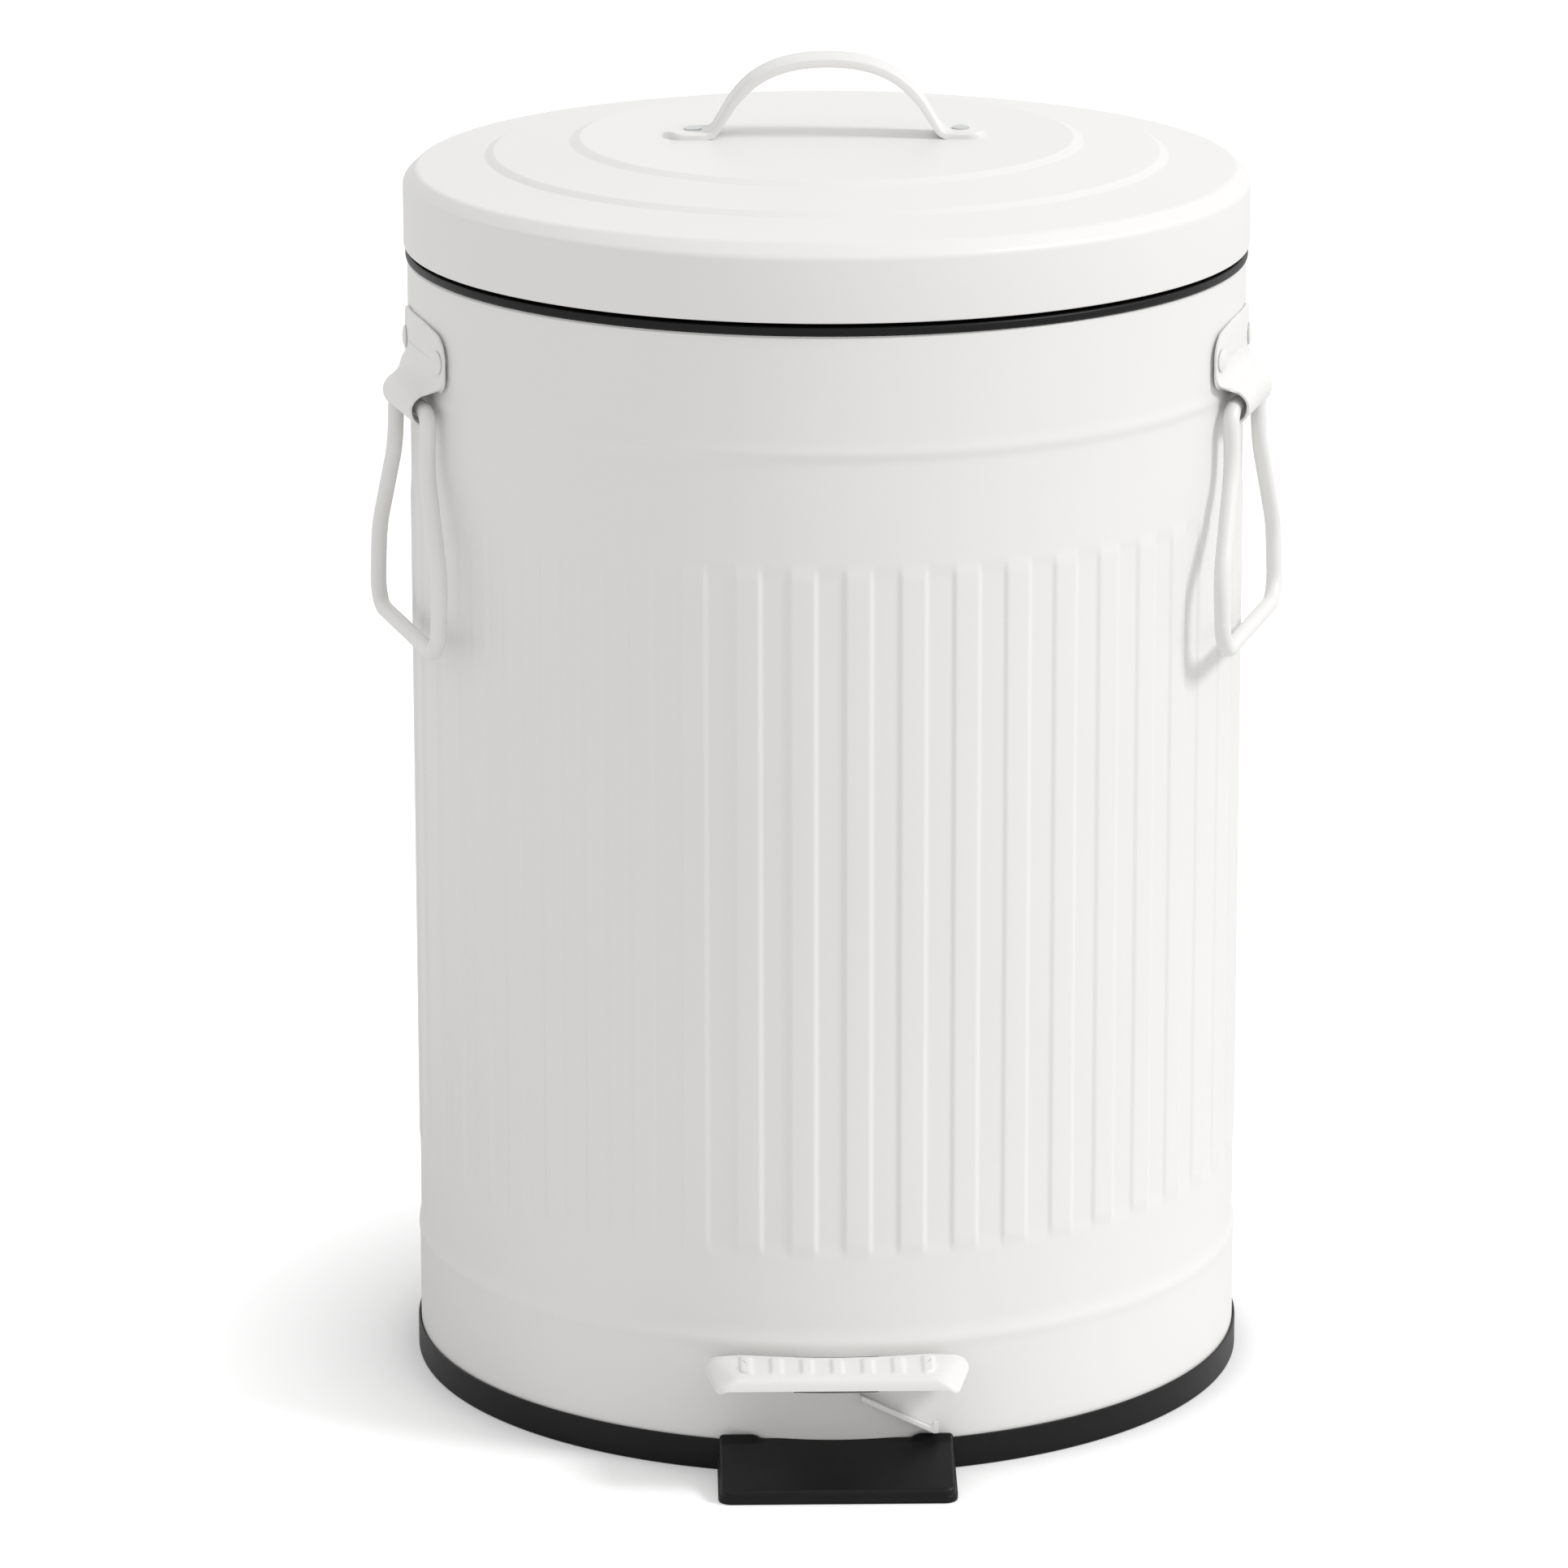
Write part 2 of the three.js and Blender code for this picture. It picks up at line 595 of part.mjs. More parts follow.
/** The pressed tray's outside, or its hollow when it is set in by the thickness of the sheet. */
function pedalBody(inset, low, high) {
  const level = (slope, z) => pedalOutline(inset + slope).map((p) => new THREE.Vector3(
    p.x,
    Math.min(
      Math.max(p.y, PEDAL_FRONT_Y + inset + slope / 5),
      -Math.sqrt((PEDAL_REAR_R + inset) ** 2 - p.x * p.x)),
    z));
  return loft([
    level(0, low), level(0.2, low + 0.8), level(PEDAL_SLOPE - 1, high - 0.6),
    level(PEDAL_SLOPE, high),
  ], pedalOutline(inset));
}

/** One embossed rib on the tread, a low bar with sloping sides and ends. */
function treadRib(x) {
  const root = PEDAL_HIGH_Z - 0.6;
  const section = (y, spread) => [
    new THREE.Vector3(x + 2.3 * spread, y, root),
    new THREE.Vector3(x + 1.2 * spread, y, PEDAL_HIGH_Z + PEDAL_RIB_HEIGHT * spread),
    new THREE.Vector3(x - 1.2 * spread, y, PEDAL_HIGH_Z + PEDAL_RIB_HEIGHT * spread),
    new THREE.Vector3(x - 2.3 * spread, y, root),
  ];
  const outline = section(0, 1).map((p) => new THREE.Vector2(p.x, p.z));
  const front = PEDAL_FRONT_Y + 5.1;
  const rear = -Math.sqrt(PEDAL_REAR_R * PEDAL_REAR_R - x * x) - 3.5;
  return loft(
    [section(front, 0.55), section(front + 1.2, 1), section(rear - 1.2, 1), section(rear, 0.55)],
    outline);
}

const treadRibs = [];
for (let i = 0; i < PEDAL_RIB_COUNT; i += 1) {
  treadRibs.push(treadRib((i - (PEDAL_RIB_COUNT - 1) / 2) * PEDAL_RIB_PITCH));
}
piece("pedal", combine(
  pedalBody(0, PEDAL_LOW_Z, PEDAL_HIGH_Z),
  treadRibs,
  [
    pedalBody(PEDAL_SHEET, PEDAL_LOW_Z - 2, PEDAL_HIGH_Z - PEDAL_SHEET),
    box(-LEVER_HALF - 1, LEVER_HALF + 1, -PEDAL_REAR_R - 3, -PEDAL_REAR_R + 3,
      PEDAL_LOW_Z - 1, LEVER_LOW_Z + LEVER_THICK),
  ]), WHITE);

const LEVER_REAR_Y = ROD_Y + 3;
piece("pedal_lever", combine(
  box(-LEVER_HALF, LEVER_HALF, PEDAL_FRONT_Y + 6, LEVER_REAR_Y, LEVER_LOW_Z,
    LEVER_LOW_Z + LEVER_THICK),
  [barX(-LEVER_HALF, LEVER_HALF, LEVER_PIVOT_Y, LEVER_PIVOT_Z, LEVER_BARREL_R, 20)],
  [barX(-LEVER_HALF - 1, LEVER_HALF + 1, LEVER_PIVOT_Y, LEVER_PIVOT_Z, PIN_R + FIT, 16)]), STEEL);

const PIVOT_EAR = 1.5;
const PIVOT_EAR_X = LEVER_HALF + 1.3;
const pivotEars = [-1, 1].map((side) => {
  const [x0, x1] = [side * PIVOT_EAR_X, side * (PIVOT_EAR_X + PIVOT_EAR)].sort((a, b) => a - b);
  return combine(
    box(x0, x1, LEVER_PIVOT_Y - 8, LEVER_PIVOT_Y + 8, DISC_TOP_Z, LEVER_PIVOT_Z),
    [barX(x0, x1, LEVER_PIVOT_Y, LEVER_PIVOT_Z, PIN_R + 3.5, 20)]);
});
piece("lever_bracket", combine(
  box(-PIVOT_EAR_X - PIVOT_EAR, PIVOT_EAR_X + PIVOT_EAR, LEVER_PIVOT_Y - 12, LEVER_PIVOT_Y + 12,
    DISC_TOP_Z, DISC_TOP_Z + PIVOT_EAR),
  pivotEars,
  [barX(-PIVOT_EAR_X - 5, PIVOT_EAR_X + 5, LEVER_PIVOT_Y, LEVER_PIVOT_Z, PIN_R + FIT, 16)]), STEEL);

/** Hinge pin with an upset head at each end, clear of the ears by `FIT`. */
function hingePin(reach, y, z) {
  const heads = [-1, 1].map((side) => {
    const [x0, x1] = [side * (reach + FIT), side * (reach + FIT + 1.4)].sort((a, b) => a - b);
    return barX(x0, x1, y, z, PIN_R + 1.1, 16);
  });
  return combine(barX(-reach - FIT - 1.2, reach + FIT + 1.2, y, z, PIN_R, 16), heads);
}
piece("lever_pin", hingePin(PIVOT_EAR_X + PIVOT_EAR, LEVER_PIVOT_Y, LEVER_PIVOT_Z), STEEL);

// ---- pedal stop -----------------------------------------------------------------------------
// A narrow steel strip that slants down the front of the body, with its outer edge turned up
// and a raised tip at its lower end. It stops the pedal.
const STOP_HEM = 0.8;
function stopSection(azimuth, z, lift) {
  const inner = BAND_R + 0.25;
  const outline = [
    [0, 0], [STOP_REACH, 0], [STOP_REACH, STOP_THICK + lift],
    [STOP_REACH - STOP_HEM, STOP_THICK + lift], [STOP_REACH - STOP_HEM, STOP_THICK],
    [0, STOP_THICK],
  ];
  return outline.map(([r, up]) => onSide(azimuth, inner + r, 0, z + up));
}
const stopRings = [];
for (let i = 0; i <= 6; i += 1) {
  const share = i / 6;
  stopRings.push(stopSection(
    STOP_FROM.azimuth + (STOP_TO.azimuth - STOP_FROM.azimuth) * share,
    STOP_FROM.z + (STOP_TO.z - STOP_FROM.z) * share, 0.05));
}
stopRings.push(stopSection(STOP_TO.azimuth + 0.2, STOP_TO.z - 0.1, 1.6));
stopRings.push(stopSection(STOP_TO.azimuth + 1, STOP_TO.z - 0.6, 1.6));
const stopOutline = [
  [0, 0], [STOP_REACH, 0], [STOP_REACH, STOP_THICK * 2], [STOP_REACH - STOP_HEM, STOP_THICK * 2],
  [STOP_REACH - STOP_HEM, STOP_THICK], [0, STOP_THICK],
].map(([x, y]) => new THREE.Vector2(x, y));
piece("pedal_stop", loft(stopRings, stopOutline), WHITE);

// ---- lift rod ------------------------------------------------------------------------------
piece("lift_rod", barZ(
  0, ROD_Y, LEVER_LOW_Z + LEVER_THICK + ROD_PLAY, TAB_LOW_Z - ROD_PLAY, ROD_R, 14), STEEL);
for (const [name, z] of [["rod_guide_lower", GUIDE_LOW_Z], ["rod_guide_upper", GUIDE_HIGH_Z]]) {
  piece(name, combine(
    box(-8, 8, ROD_Y - ROD_R - 2.4, BODY_INNER_R - 0.6, z, z + GUIDE_HEIGHT),
    [],
    [barZ(0, ROD_Y, z - 1, z + GUIDE_HEIGHT + 1, ROD_R + FIT, 16)]), BLACK);
}

// ---- rim collar and bucket --------------------------------------------------------------------
const COLLAR_SKIRT_R = BODY_INNER_R - 0.4;
const COLLAR_SKIRT_Z = BODY_TOP_Z - COLLAR_SKIRT_DROP;
piece("rim_collar", combine(ring([
  [COLLAR_R - COLLAR_WIDTH, COLLAR_LOW_Z], [COLLAR_R - COLLAR_WIDTH, COLLAR_TOP_Z],
  [COLLAR_R - 0.5, COLLAR_TOP_Z], [COLLAR_R, COLLAR_TOP_Z - 0.5], [COLLAR_R, COLLAR_LOW_Z],
  [COLLAR_SKIRT_R, COLLAR_LOW_Z], [COLLAR_SKIRT_R, COLLAR_SKIRT_Z],
  [COLLAR_SKIRT_R - COLLAR_SKIRT, COLLAR_SKIRT_Z], [COLLAR_SKIRT_R - COLLAR_SKIRT, COLLAR_LOW_Z],
], ROUND), [], [rearNotch]), BLACK);

const bucketBody = turned([
  [0, BUCKET_LOW_Z], [BUCKET_LOW_R - 3, BUCKET_LOW_Z], [BUCKET_LOW_R, BUCKET_LOW_Z + 3],
  [BUCKET_HIGH_R, COLLAR_TOP_Z - 2], [BUCKET_HIGH_R + 2, COLLAR_TOP_Z], [BUCKET_RIM_R, COLLAR_TOP_Z],
  [BUCKET_RIM_R, BUCKET_RIM_Z], [BUCKET_HIGH_R, BUCKET_RIM_Z],
  [BUCKET_HIGH_R - BUCKET_WALL, BUCKET_RIM_Z - 1.5],
  [BUCKET_LOW_R - BUCKET_WALL, BUCKET_LOW_Z + BUCKET_WALL + 2],
  [BUCKET_LOW_R - BUCKET_WALL - 2.5, BUCKET_LOW_Z + BUCKET_WALL], [0, BUCKET_LOW_Z + BUCKET_WALL],
], ROUND);
piece("bucket", combine(bucketBody, [], [
  box(-NOTCH_HALF - 1, NOTCH_HALF + 1, ROD_Y - 6, BUCKET_RIM_R + 5, BUCKET_RIM_Z - 4,
    BUCKET_RIM_Z + 4),
  barX(-BUCKET_HIGH_R - 6, BUCKET_HIGH_R + 6, 0, BUCKET_BAIL_Z, BUCKET_BAIL_R + FIT, 14),
]), BLACK);

// The bucket has its own wire bail, folded down inside the rim on the front side.
const BUCKET_BAIL_HALF = BUCKET_HIGH_R - BUCKET_BAIL_INSET;
const bailArc = [];
for (let i = 0; i <= 26; i += 1) {
  const angle = Math.PI + (Math.PI * i) / 26;
  bailArc.push(new THREE.Vector3(
    BUCKET_BAIL_HALF * Math.cos(angle), (BUCKET_BAIL_HALF - 1.5) * Math.sin(angle),
    BUCKET_BAIL_Z + 5 * Math.sin(angle)));
}
const bailEnds = [-1, 1].map((side) => {
  const ends = [side * (BUCKET_BAIL_HALF - 1.3), side * (BUCKET_HIGH_R + 3)];
  const [x0, x1] = ends.sort((a, b) => a - b);
  return barX(x0, x1, 0, BUCKET_BAIL_Z, BUCKET_BAIL_R - 0.02, 10);
});
piece("bucket_bail", combine(wire(bailArc, BUCKET_BAIL_R), bailEnds), STEEL);

// ---- side brackets and bails ------------------------------------------------------------------
const TONGUE_ROOT_Z = BRACKET_LOW_Z + 7;

/** Middle line of the tongue from the plate out and round the wire: radius, height, half width. */
function tongueLine() {
  const middle = CURL_INNER + TONGUE / 2;
  const root = BRACKET_R + PLATE / 2;
  const round = (angle) => new THREE.Vector2(
    BAIL_AXIS_R + middle * Math.cos(radians(angle)),
    BAIL_AXIS_Z + middle * Math.sin(radians(angle)));
  const joint = round(60);
  const curve = new THREE.CubicBezierCurve(
    new THREE.Vector2(root, TONGUE_ROOT_Z), new THREE.Vector2(root, TONGUE_ROOT_Z - 3.5),
    new THREE.Vector2(joint.x - 2.25, joint.y + 1.3), joint);
  const line = [[root, TONGUE_ROOT_Z + 3, CURL_HALF]];
  for (const p of curve.getPoints(5)) line.push([p.x, p.y, CURL_HALF]);
  for (let angle = 37; angle >= -101; angle -= 23) {
    const p = round(angle);
    line.push([p.x, p.y, angle < -60 ? CURL_HALF - (-60 - angle) * 0.073 : CURL_HALF]);
  }
  return line;
}

/** The tongue follows the round body at its root and is straight where it holds the wire. */
function tongue(azimuth) {
  const line = tongueLine();
  const normals = line.map((point, i) => {
    const before = line[Math.max(i - 1, 0)];
    const after = line[Math.min(i + 1, line.length - 1)];
    const run = new THREE.Vector2(after[0] - before[0], after[1] - before[1]).normalize();
    return [-run.y * (TONGUE / 2), run.x * (TONGUE / 2)];
  });
  const rings = [];
  for (let k = -4; k <= 4; k += 1) {
    const face = (sign) => line.map(([r, z, half], i) => {
      const across = (k / 4) * half;
      const straight = Math.min(1, Math.max(0, (TONGUE_ROOT_Z - z) / 9));
      const sag = (Math.sqrt(r * r - across * across) - r) * (1 - straight);
      return onSide(azimuth, r + sag + sign * normals[i][0], across, z + sign * normals[i][1]);
    });
    rings.push([...face(1), ...face(-1).reverse()]);
  }
  const flat = (sign) => line.map(
    ([r, z], i) => new THREE.Vector2(r + sign * normals[i][0], z + sign * normals[i][1]));
  return loft(rings, [...flat(1), ...flat(-1).reverse()]);
}

for (const side of ["left", "right"]) {
  const azimuth = BAIL_AZIMUTH[side];
  piece(`${side}_bracket`, combine(
    wrappedPlate(azimuth, BRACKET_HALF, BRACKET_LOW_Z, BRACKET_HIGH_Z, BRACKET_CORNER),
    [tongue(azimuth)],
    bodyRivetHoles), WHITE);

  const half = [
    new THREE.Vector2(BAIL_STUB, BAIL_AXIS_Z), new THREE.Vector2(BAIL_TOP_HALF, BAIL_AXIS_Z),
    new THREE.Vector2(BAIL_TOP_HALF, BAIL_AXIS_Z - BAIL_SPLAY[0]),
    new THREE.Vector2(BAIL_BOTTOM_HALF, BAIL_AXIS_Z - BAIL_SPLAY[1]),
    new THREE.Vector2(BAIL_BOTTOM_HALF, BAIL_AXIS_Z - BAIL_DROP),
  ];
  const bends = [BAIL_BEND, BAIL_SWEEP, BAIL_SWEEP, BAIL_CORNER];
  const path = rounded(
    [...half, ...half.map((p) => new THREE.Vector2(-p.x, p.y)).reverse()],
    [...bends, ...bends.slice().reverse()]);
  const lean = Math.tan(radians(BAIL_LEAN));
  piece(`${side}_bail`, wire(
    path.map((p) => onSide(azimuth, BAIL_AXIS_R + lean * (BAIL_AXIS_Z - p.y), p.x, p.y)),
    BAIL_WIRE_R, 10), WHITE);
}

// ---- rear hinge --------------------------------------------------------------------------------
const EAR_LOW_Z = HINGE_Z - 20.5;
const EAR_REACH = BARREL_R - 0.1;
const hingeEars = [-1, 1].map((side) => {
  const [x0, x1] = [side * HINGE_EAR_X, side * (HINGE_EAR_X + HINGE_EAR)].sort((a, b) => a - b);
  return combine(
    pushedX([
      [BAND_R, EAR_LOW_Z], [BAND_R + 2.3, EAR_LOW_Z], [HINGE_Y + EAR_REACH, HINGE_Z - 6.5],
      [HINGE_Y + EAR_REACH, HINGE_Z], [HINGE_Y - EAR_REACH, HINGE_Z], [BAND_R, HINGE_Z - 2.5],
    ], x0, x1),
    [barX(x0, x1, HINGE_Y, HINGE_Z, BARREL_R, 20)]);
});
const pinHole = barX(
  -HINGE_EAR_X - 10, HINGE_EAR_X + 10, HINGE_Y, HINGE_Z, PIN_R + FIT, 16);
piece("hinge_bracket", combine(
  wrappedPlate(180, HINGE_PLATE_HALF, HINGE_PLATE_LOW_Z, HINGE_PLATE_HIGH_Z, 4),
  hingeEars,
  [pinHole, ...bodyRivetHoles]), WHITE);
piece("hinge_pin", hingePin(HINGE_EAR_X + HINGE_EAR, HINGE_Y, HINGE_Z), STEEL);
for (const item of bodyRivets) piece(item.name, rivet(item.at, item.out, BODY_GRIP), WHITE);

// ---- lid ----------------------------------------------------------------------------------------
const lidBends = LID_STEPS.map(([inwards, up]) => [LID_R - inwards, LID_SKIRT_TOP_Z + up]);
const lidShoulder = [0, 24, 48, 72].map((angle) => [
  LID_R - LID_SHOULDER * (1 - Math.cos(radians(angle))),
  LID_SKIRT_TOP_Z + LID_SHOULDER * Math.sin(radians(angle))]);
const lidInside = [
  [LID_R - LID_SHEET, LID_BOTTOM_Z], [LID_R - LID_SHEET, LID_SKIRT_TOP_Z],
  [LID_R - LID_SHOULDER, LID_SKIRT_TOP_Z + LID_SHOULDER - LID_SHEET],
  ...lidBends.slice(1).map(([r, z]) => [r - 0.3, z - LID_SHEET]),
];

const SMALL_RIVET = 0.85; // size of the lid's rivets against the body's
const armRivets = [-1, 1].map((side) => ({
  name: `hinge_arm_rivet_${side < 0 ? "left" : "right"}`,
  at: new THREE.Vector3(side * ARM_RIVET_X, ARM_Y + ARM_THICK + 0.02, ARM_RIVET_Z),
  out: new THREE.Vector3(0, 1, 0),
}));
const gripRivets = [-1, 1].map((side) => ({
  name: `grip_rivet_${side < 0 ? "left" : "right"}`,
  at: new THREE.Vector3(side * GRIP_RIVET_X, 0, LID_TOP_Z + GRIP_THICK + 0.02),
  out: new THREE.Vector3(0, 0, 1),
}));
const lidHoles = [...armRivets, ...gripRivets].map(
  (item) => rivetHole(item.at, item.out, SMALL_RIVET));

piece("lid", combine(turned([
  [0, LID_TOP_Z], ...lidBends.slice().reverse(), ...lidShoulder.slice().reverse(),
  [LID_R, LID_BOTTOM_Z], ...lidInside, [0, LID_TOP_Z - LID_SHEET],
], ROUND), [], lidHoles), WHITE);

const LINER_R = LID_R - LID_SHEET - FIT;
piece("lid_liner", turned([
  [0, LINER_Z], [LINER_R - 2.9, LINER_Z], [LINER_R - 1.7, LINER_Z - 2.4], [LINER_R, LINER_Z - 2.4],
  [LINER_R, LINER_Z + LINER_THICK], [0, LINER_Z + LINER_THICK],
], ROUND), BLACK);

// Handle: a strip with a low crown, bent up from two riveted pads into an arch.
const GRIP_MID = LID_TOP_Z + GRIP_THICK / 2;
const GRIP_TOP = LID_TOP_Z + GRIP_RISE - GRIP_THICK / 2;
const gripArch = new THREE.CubicBezierCurve(
  new THREE.Vector2(GRIP_HALF - 18, GRIP_TOP - 12.9),
  new THREE.Vector2(GRIP_HALF - 22.9, GRIP_TOP - 5.3),
  new THREE.Vector2(16, GRIP_TOP), new THREE.Vector2(0, GRIP_TOP));
const GRIP_PAD_ENDS = [[0, 0.52], [0.7, 0.76], [1.8, 0.93], [3.4, 1]]; // distance in, half width
const gripHalf = [
  ...GRIP_PAD_ENDS.map(([inwards]) => new THREE.Vector2(GRIP_HALF - inwards, GRIP_MID)),
  new THREE.Vector2(GRIP_HALF - 9.9, GRIP_MID), new THREE.Vector2(GRIP_HALF - 12.1, GRIP_MID + 0.6),
  new THREE.Vector2(GRIP_HALF - 13.5, GRIP_MID + 1.7), new THREE.Vector2(GRIP_HALF - 14.5, GRIP_MID + 3.1),
  ...gripArch.getPoints(5),
];
const gripLine = [
  ...gripHalf.map((p) => new THREE.Vector2(-p.x, p.y)), ...gripHalf.slice(0, -1).reverse(),
];
const GRIP_SECTION = [
  [-1, -0.55], [-0.88, -1], [0.88, -1], [1, -0.55], [1, 0.3], [0.8, 0.72], [0, 1], [-0.8, 0.72],
  [-1, 0.3],
].map(([x, y]) => new THREE.Vector2(x, y));
const gripRings = gripLine.map((point, i) => {
  const before = gripLine[Math.max(i - 1, 0)];
  const after = gripLine[Math.min(i + 1, gripLine.length - 1)];
  const run = after.clone().sub(before).normalize();
  const width = GRIP_PAD_ENDS[Math.min(i, gripLine.length - 1 - i)]?.[1] ?? 1;
  return GRIP_SECTION.map((p) => new THREE.Vector3(
    point.x - run.y * p.y * (GRIP_THICK / 2),
    p.x * width * (GRIP_WIDTH / 2),
    point.y + run.x * p.y * (GRIP_THICK / 2)));
});
piece("lid_grip", combine(loft(gripRings, GRIP_SECTION), [], lidHoles), WHITE);

// Hinge arm: riveted to the skirt, rolled round the pin, with a tab over the lift rod.
piece("lid_hinge_arm", combine(
  box(-HINGE_ARM_HALF, HINGE_ARM_HALF, ARM_Y, ARM_Y + ARM_THICK, HINGE_Z + 1,
    LID_BOTTOM_Z + ARM_HEIGHT),
  [
    barX(-HINGE_BARREL_HALF, HINGE_BARREL_HALF, HINGE_Y, HINGE_Z, BARREL_R, 20),
    box(-HINGE_ARM_HALF + 1, HINGE_ARM_HALF - 1, ROD_Y - 3.5, HINGE_Y, TAB_LOW_Z,
      TAB_LOW_Z + TAB_THICK),
  ],
  [pinHole, ...lidHoles]), WHITE);
const ARM_GRIP = ARM_Y + ARM_THICK - LID_R + LID_SHEET + 0.35;
for (const item of armRivets) {
  piece(item.name, rivet(item.at, item.out, ARM_GRIP, SMALL_RIVET), WHITE);
}
for (const item of gripRivets) {
  piece(item.name, rivet(item.at, item.out, GRIP_THICK + LID_SHEET + 0.04, SMALL_RIVET), STEEL);
}

// The origin is the middle of the footprint: the foot in front and the hinge barrel behind.
group.position.y = -(FOOT_FRONT_Y + HINGE_Y + BARREL_R) / 2;

export default group;
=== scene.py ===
"""Looks of a round white pedal bin: fluted powder-coated steel body, stepped lid with a strap
handle, two swinging wire handles, black plastic rings and foot, and a pressed steel pedal."""

import math

import bmesh
import bpy
import numpy as np
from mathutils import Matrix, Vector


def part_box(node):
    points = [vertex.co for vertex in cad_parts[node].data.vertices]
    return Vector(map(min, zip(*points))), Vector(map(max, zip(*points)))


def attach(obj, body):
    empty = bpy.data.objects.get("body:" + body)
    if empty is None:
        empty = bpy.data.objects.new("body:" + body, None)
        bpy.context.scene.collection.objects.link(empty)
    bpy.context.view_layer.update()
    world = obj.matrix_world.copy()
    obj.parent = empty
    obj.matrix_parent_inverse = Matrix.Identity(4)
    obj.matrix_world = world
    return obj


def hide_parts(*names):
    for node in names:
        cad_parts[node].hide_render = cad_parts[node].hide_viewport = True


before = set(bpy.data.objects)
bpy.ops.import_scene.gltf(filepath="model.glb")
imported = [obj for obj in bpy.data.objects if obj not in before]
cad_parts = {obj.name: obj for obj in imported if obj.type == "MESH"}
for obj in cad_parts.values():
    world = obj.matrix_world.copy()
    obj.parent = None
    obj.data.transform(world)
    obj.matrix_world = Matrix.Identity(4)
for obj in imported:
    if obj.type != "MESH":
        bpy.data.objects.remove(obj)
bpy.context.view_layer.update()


# ---- base ring --------------------------------------------------------------------------
# The real piece is a channel moulded in black polypropylene. The body's lower edge is pressed
# into it, and a ledge on its inside carries the bottom disc.
ring_low, ring_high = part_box("base_ring")
AXIS_Y = (ring_low.y + ring_high.y) / 2


def filleted(corners, radii, steps=6, closed=True):
    """Points along a polyline with rounded corners. Each corner becomes an arc that touches
    both of its sides, with the arc's centre on the line that halves the corner's angle."""
    corners = np.asarray(corners, float)
    radii = np.broadcast_to(np.asarray(radii, float), len(corners)).copy()
    if not closed:
        radii[[0, -1]] = 0
    back = np.roll(corners, 1, 0) - corners
    ahead = np.roll(corners, -1, 0) - corners
    back /= np.linalg.norm(back, axis=1, keepdims=True)
    ahead /= np.linalg.norm(ahead, axis=1, keepdims=True)
    half = np.arccos(np.clip((back * ahead).sum(1), -1, 1 - 1e-12)) / 2
    turn = np.maximum(np.pi - 2 * half, 1e-6)[:, None, None]
    bisector = back + ahead
    bisector /= np.maximum(np.linalg.norm(bisector, axis=1, keepdims=True), 1e-9)
    centre = corners + bisector * (radii / np.sin(half))[:, None]
    start = corners + back * (radii / np.tan(half))[:, None] - centre
    end = corners + ahead * (radii / np.tan(half))[:, None] - centre
    share = np.linspace(0, 1, steps + 1)[None, :, None]
    arcs = (np.sin((1 - share) * turn) * start[:, None]
            + np.sin(share * turn) * end[:, None]) / np.sin(turn)
    points = (centre[:, None] + arcs).reshape(-1, corners.shape[1])
    step = np.linalg.norm(np.diff(points, axis=0), axis=1)
    return points[np.concatenate([[True], step > 1e-4])]


def turned(profile, segments=192):
    """Grid of points of a profile (radius, height) turned about the body's axis."""
    angle = np.linspace(0, 2 * np.pi, segments, endpoint=False)
    radius, height = profile[:, :1], profile[:, 1:]
    return np.stack([radius * np.sin(angle), -radius * np.cos(angle), height + 0 * angle], -1)


def skin(name, grid, rows="closed", sharp=35):
    """Object with the surface of a grid of points, in millimetres from the body's axis. The
    columns always close on themselves. The rows close too, or end in flat caps or in points."""
    count, columns = grid.shape[:2]
    index = np.arange(count * columns).reshape(count, columns)
    around = np.hstack([index, index[:, :1]])
    if rows == "closed":
        around = np.vstack([around, around[:1]])
    quads = np.stack([around[:-1, :-1], around[:-1, 1:], around[1:, 1:], around[1:, :-1]], -1)
    faces = quads.reshape(-1, 4).tolist()
    if rows == "capped":
        faces += [index[0].tolist(), index[-1].tolist()]
    mesh = bpy.data.meshes.new(name)
    mesh.from_pydata(grid.reshape(-1, 3) * 0.001 + [0, AXIS_Y, 0], [], faces)
    tidy = bmesh.new()
    tidy.from_mesh(mesh)
    bmesh.ops.remove_doubles(tidy, verts=tidy.verts, dist=2e-6)
    bmesh.ops.recalc_face_normals(tidy, faces=tidy.faces)
    tidy.to_mesh(mesh)
    tidy.free()
    mesh.shade_smooth()
    mesh.set_sharp_from_angle(angle=math.radians(sharp))
    piece = bpy.data.objects.new(name, mesh)
    bpy.context.scene.collection.objects.link(piece)
    return piece


def linear(code):
    """Linear colour of an sRGB hex code: the sRGB curve undone for each channel."""
    channels = [int(code[i:i + 2], 16) / 255 for i in (1, 3, 5)]
    return (*[c / 12.92 if c <= 0.04045 else ((c + 0.055) / 1.055) ** 2.4 for c in channels], 1)


def add_node(tree, kind, settings, links=()):
    """Adds a node, sets its sockets or properties by name, and links outputs into it."""
    node = tree.nodes.new(kind)
    for key, value in settings.items():
        if isinstance(key, int) or key in node.inputs:
            node.inputs[key].default_value = value
        else:
            setattr(node, key, value)
    for key, output in dict(links).items():
        tree.links.new(output, node.inputs[key])
    return node


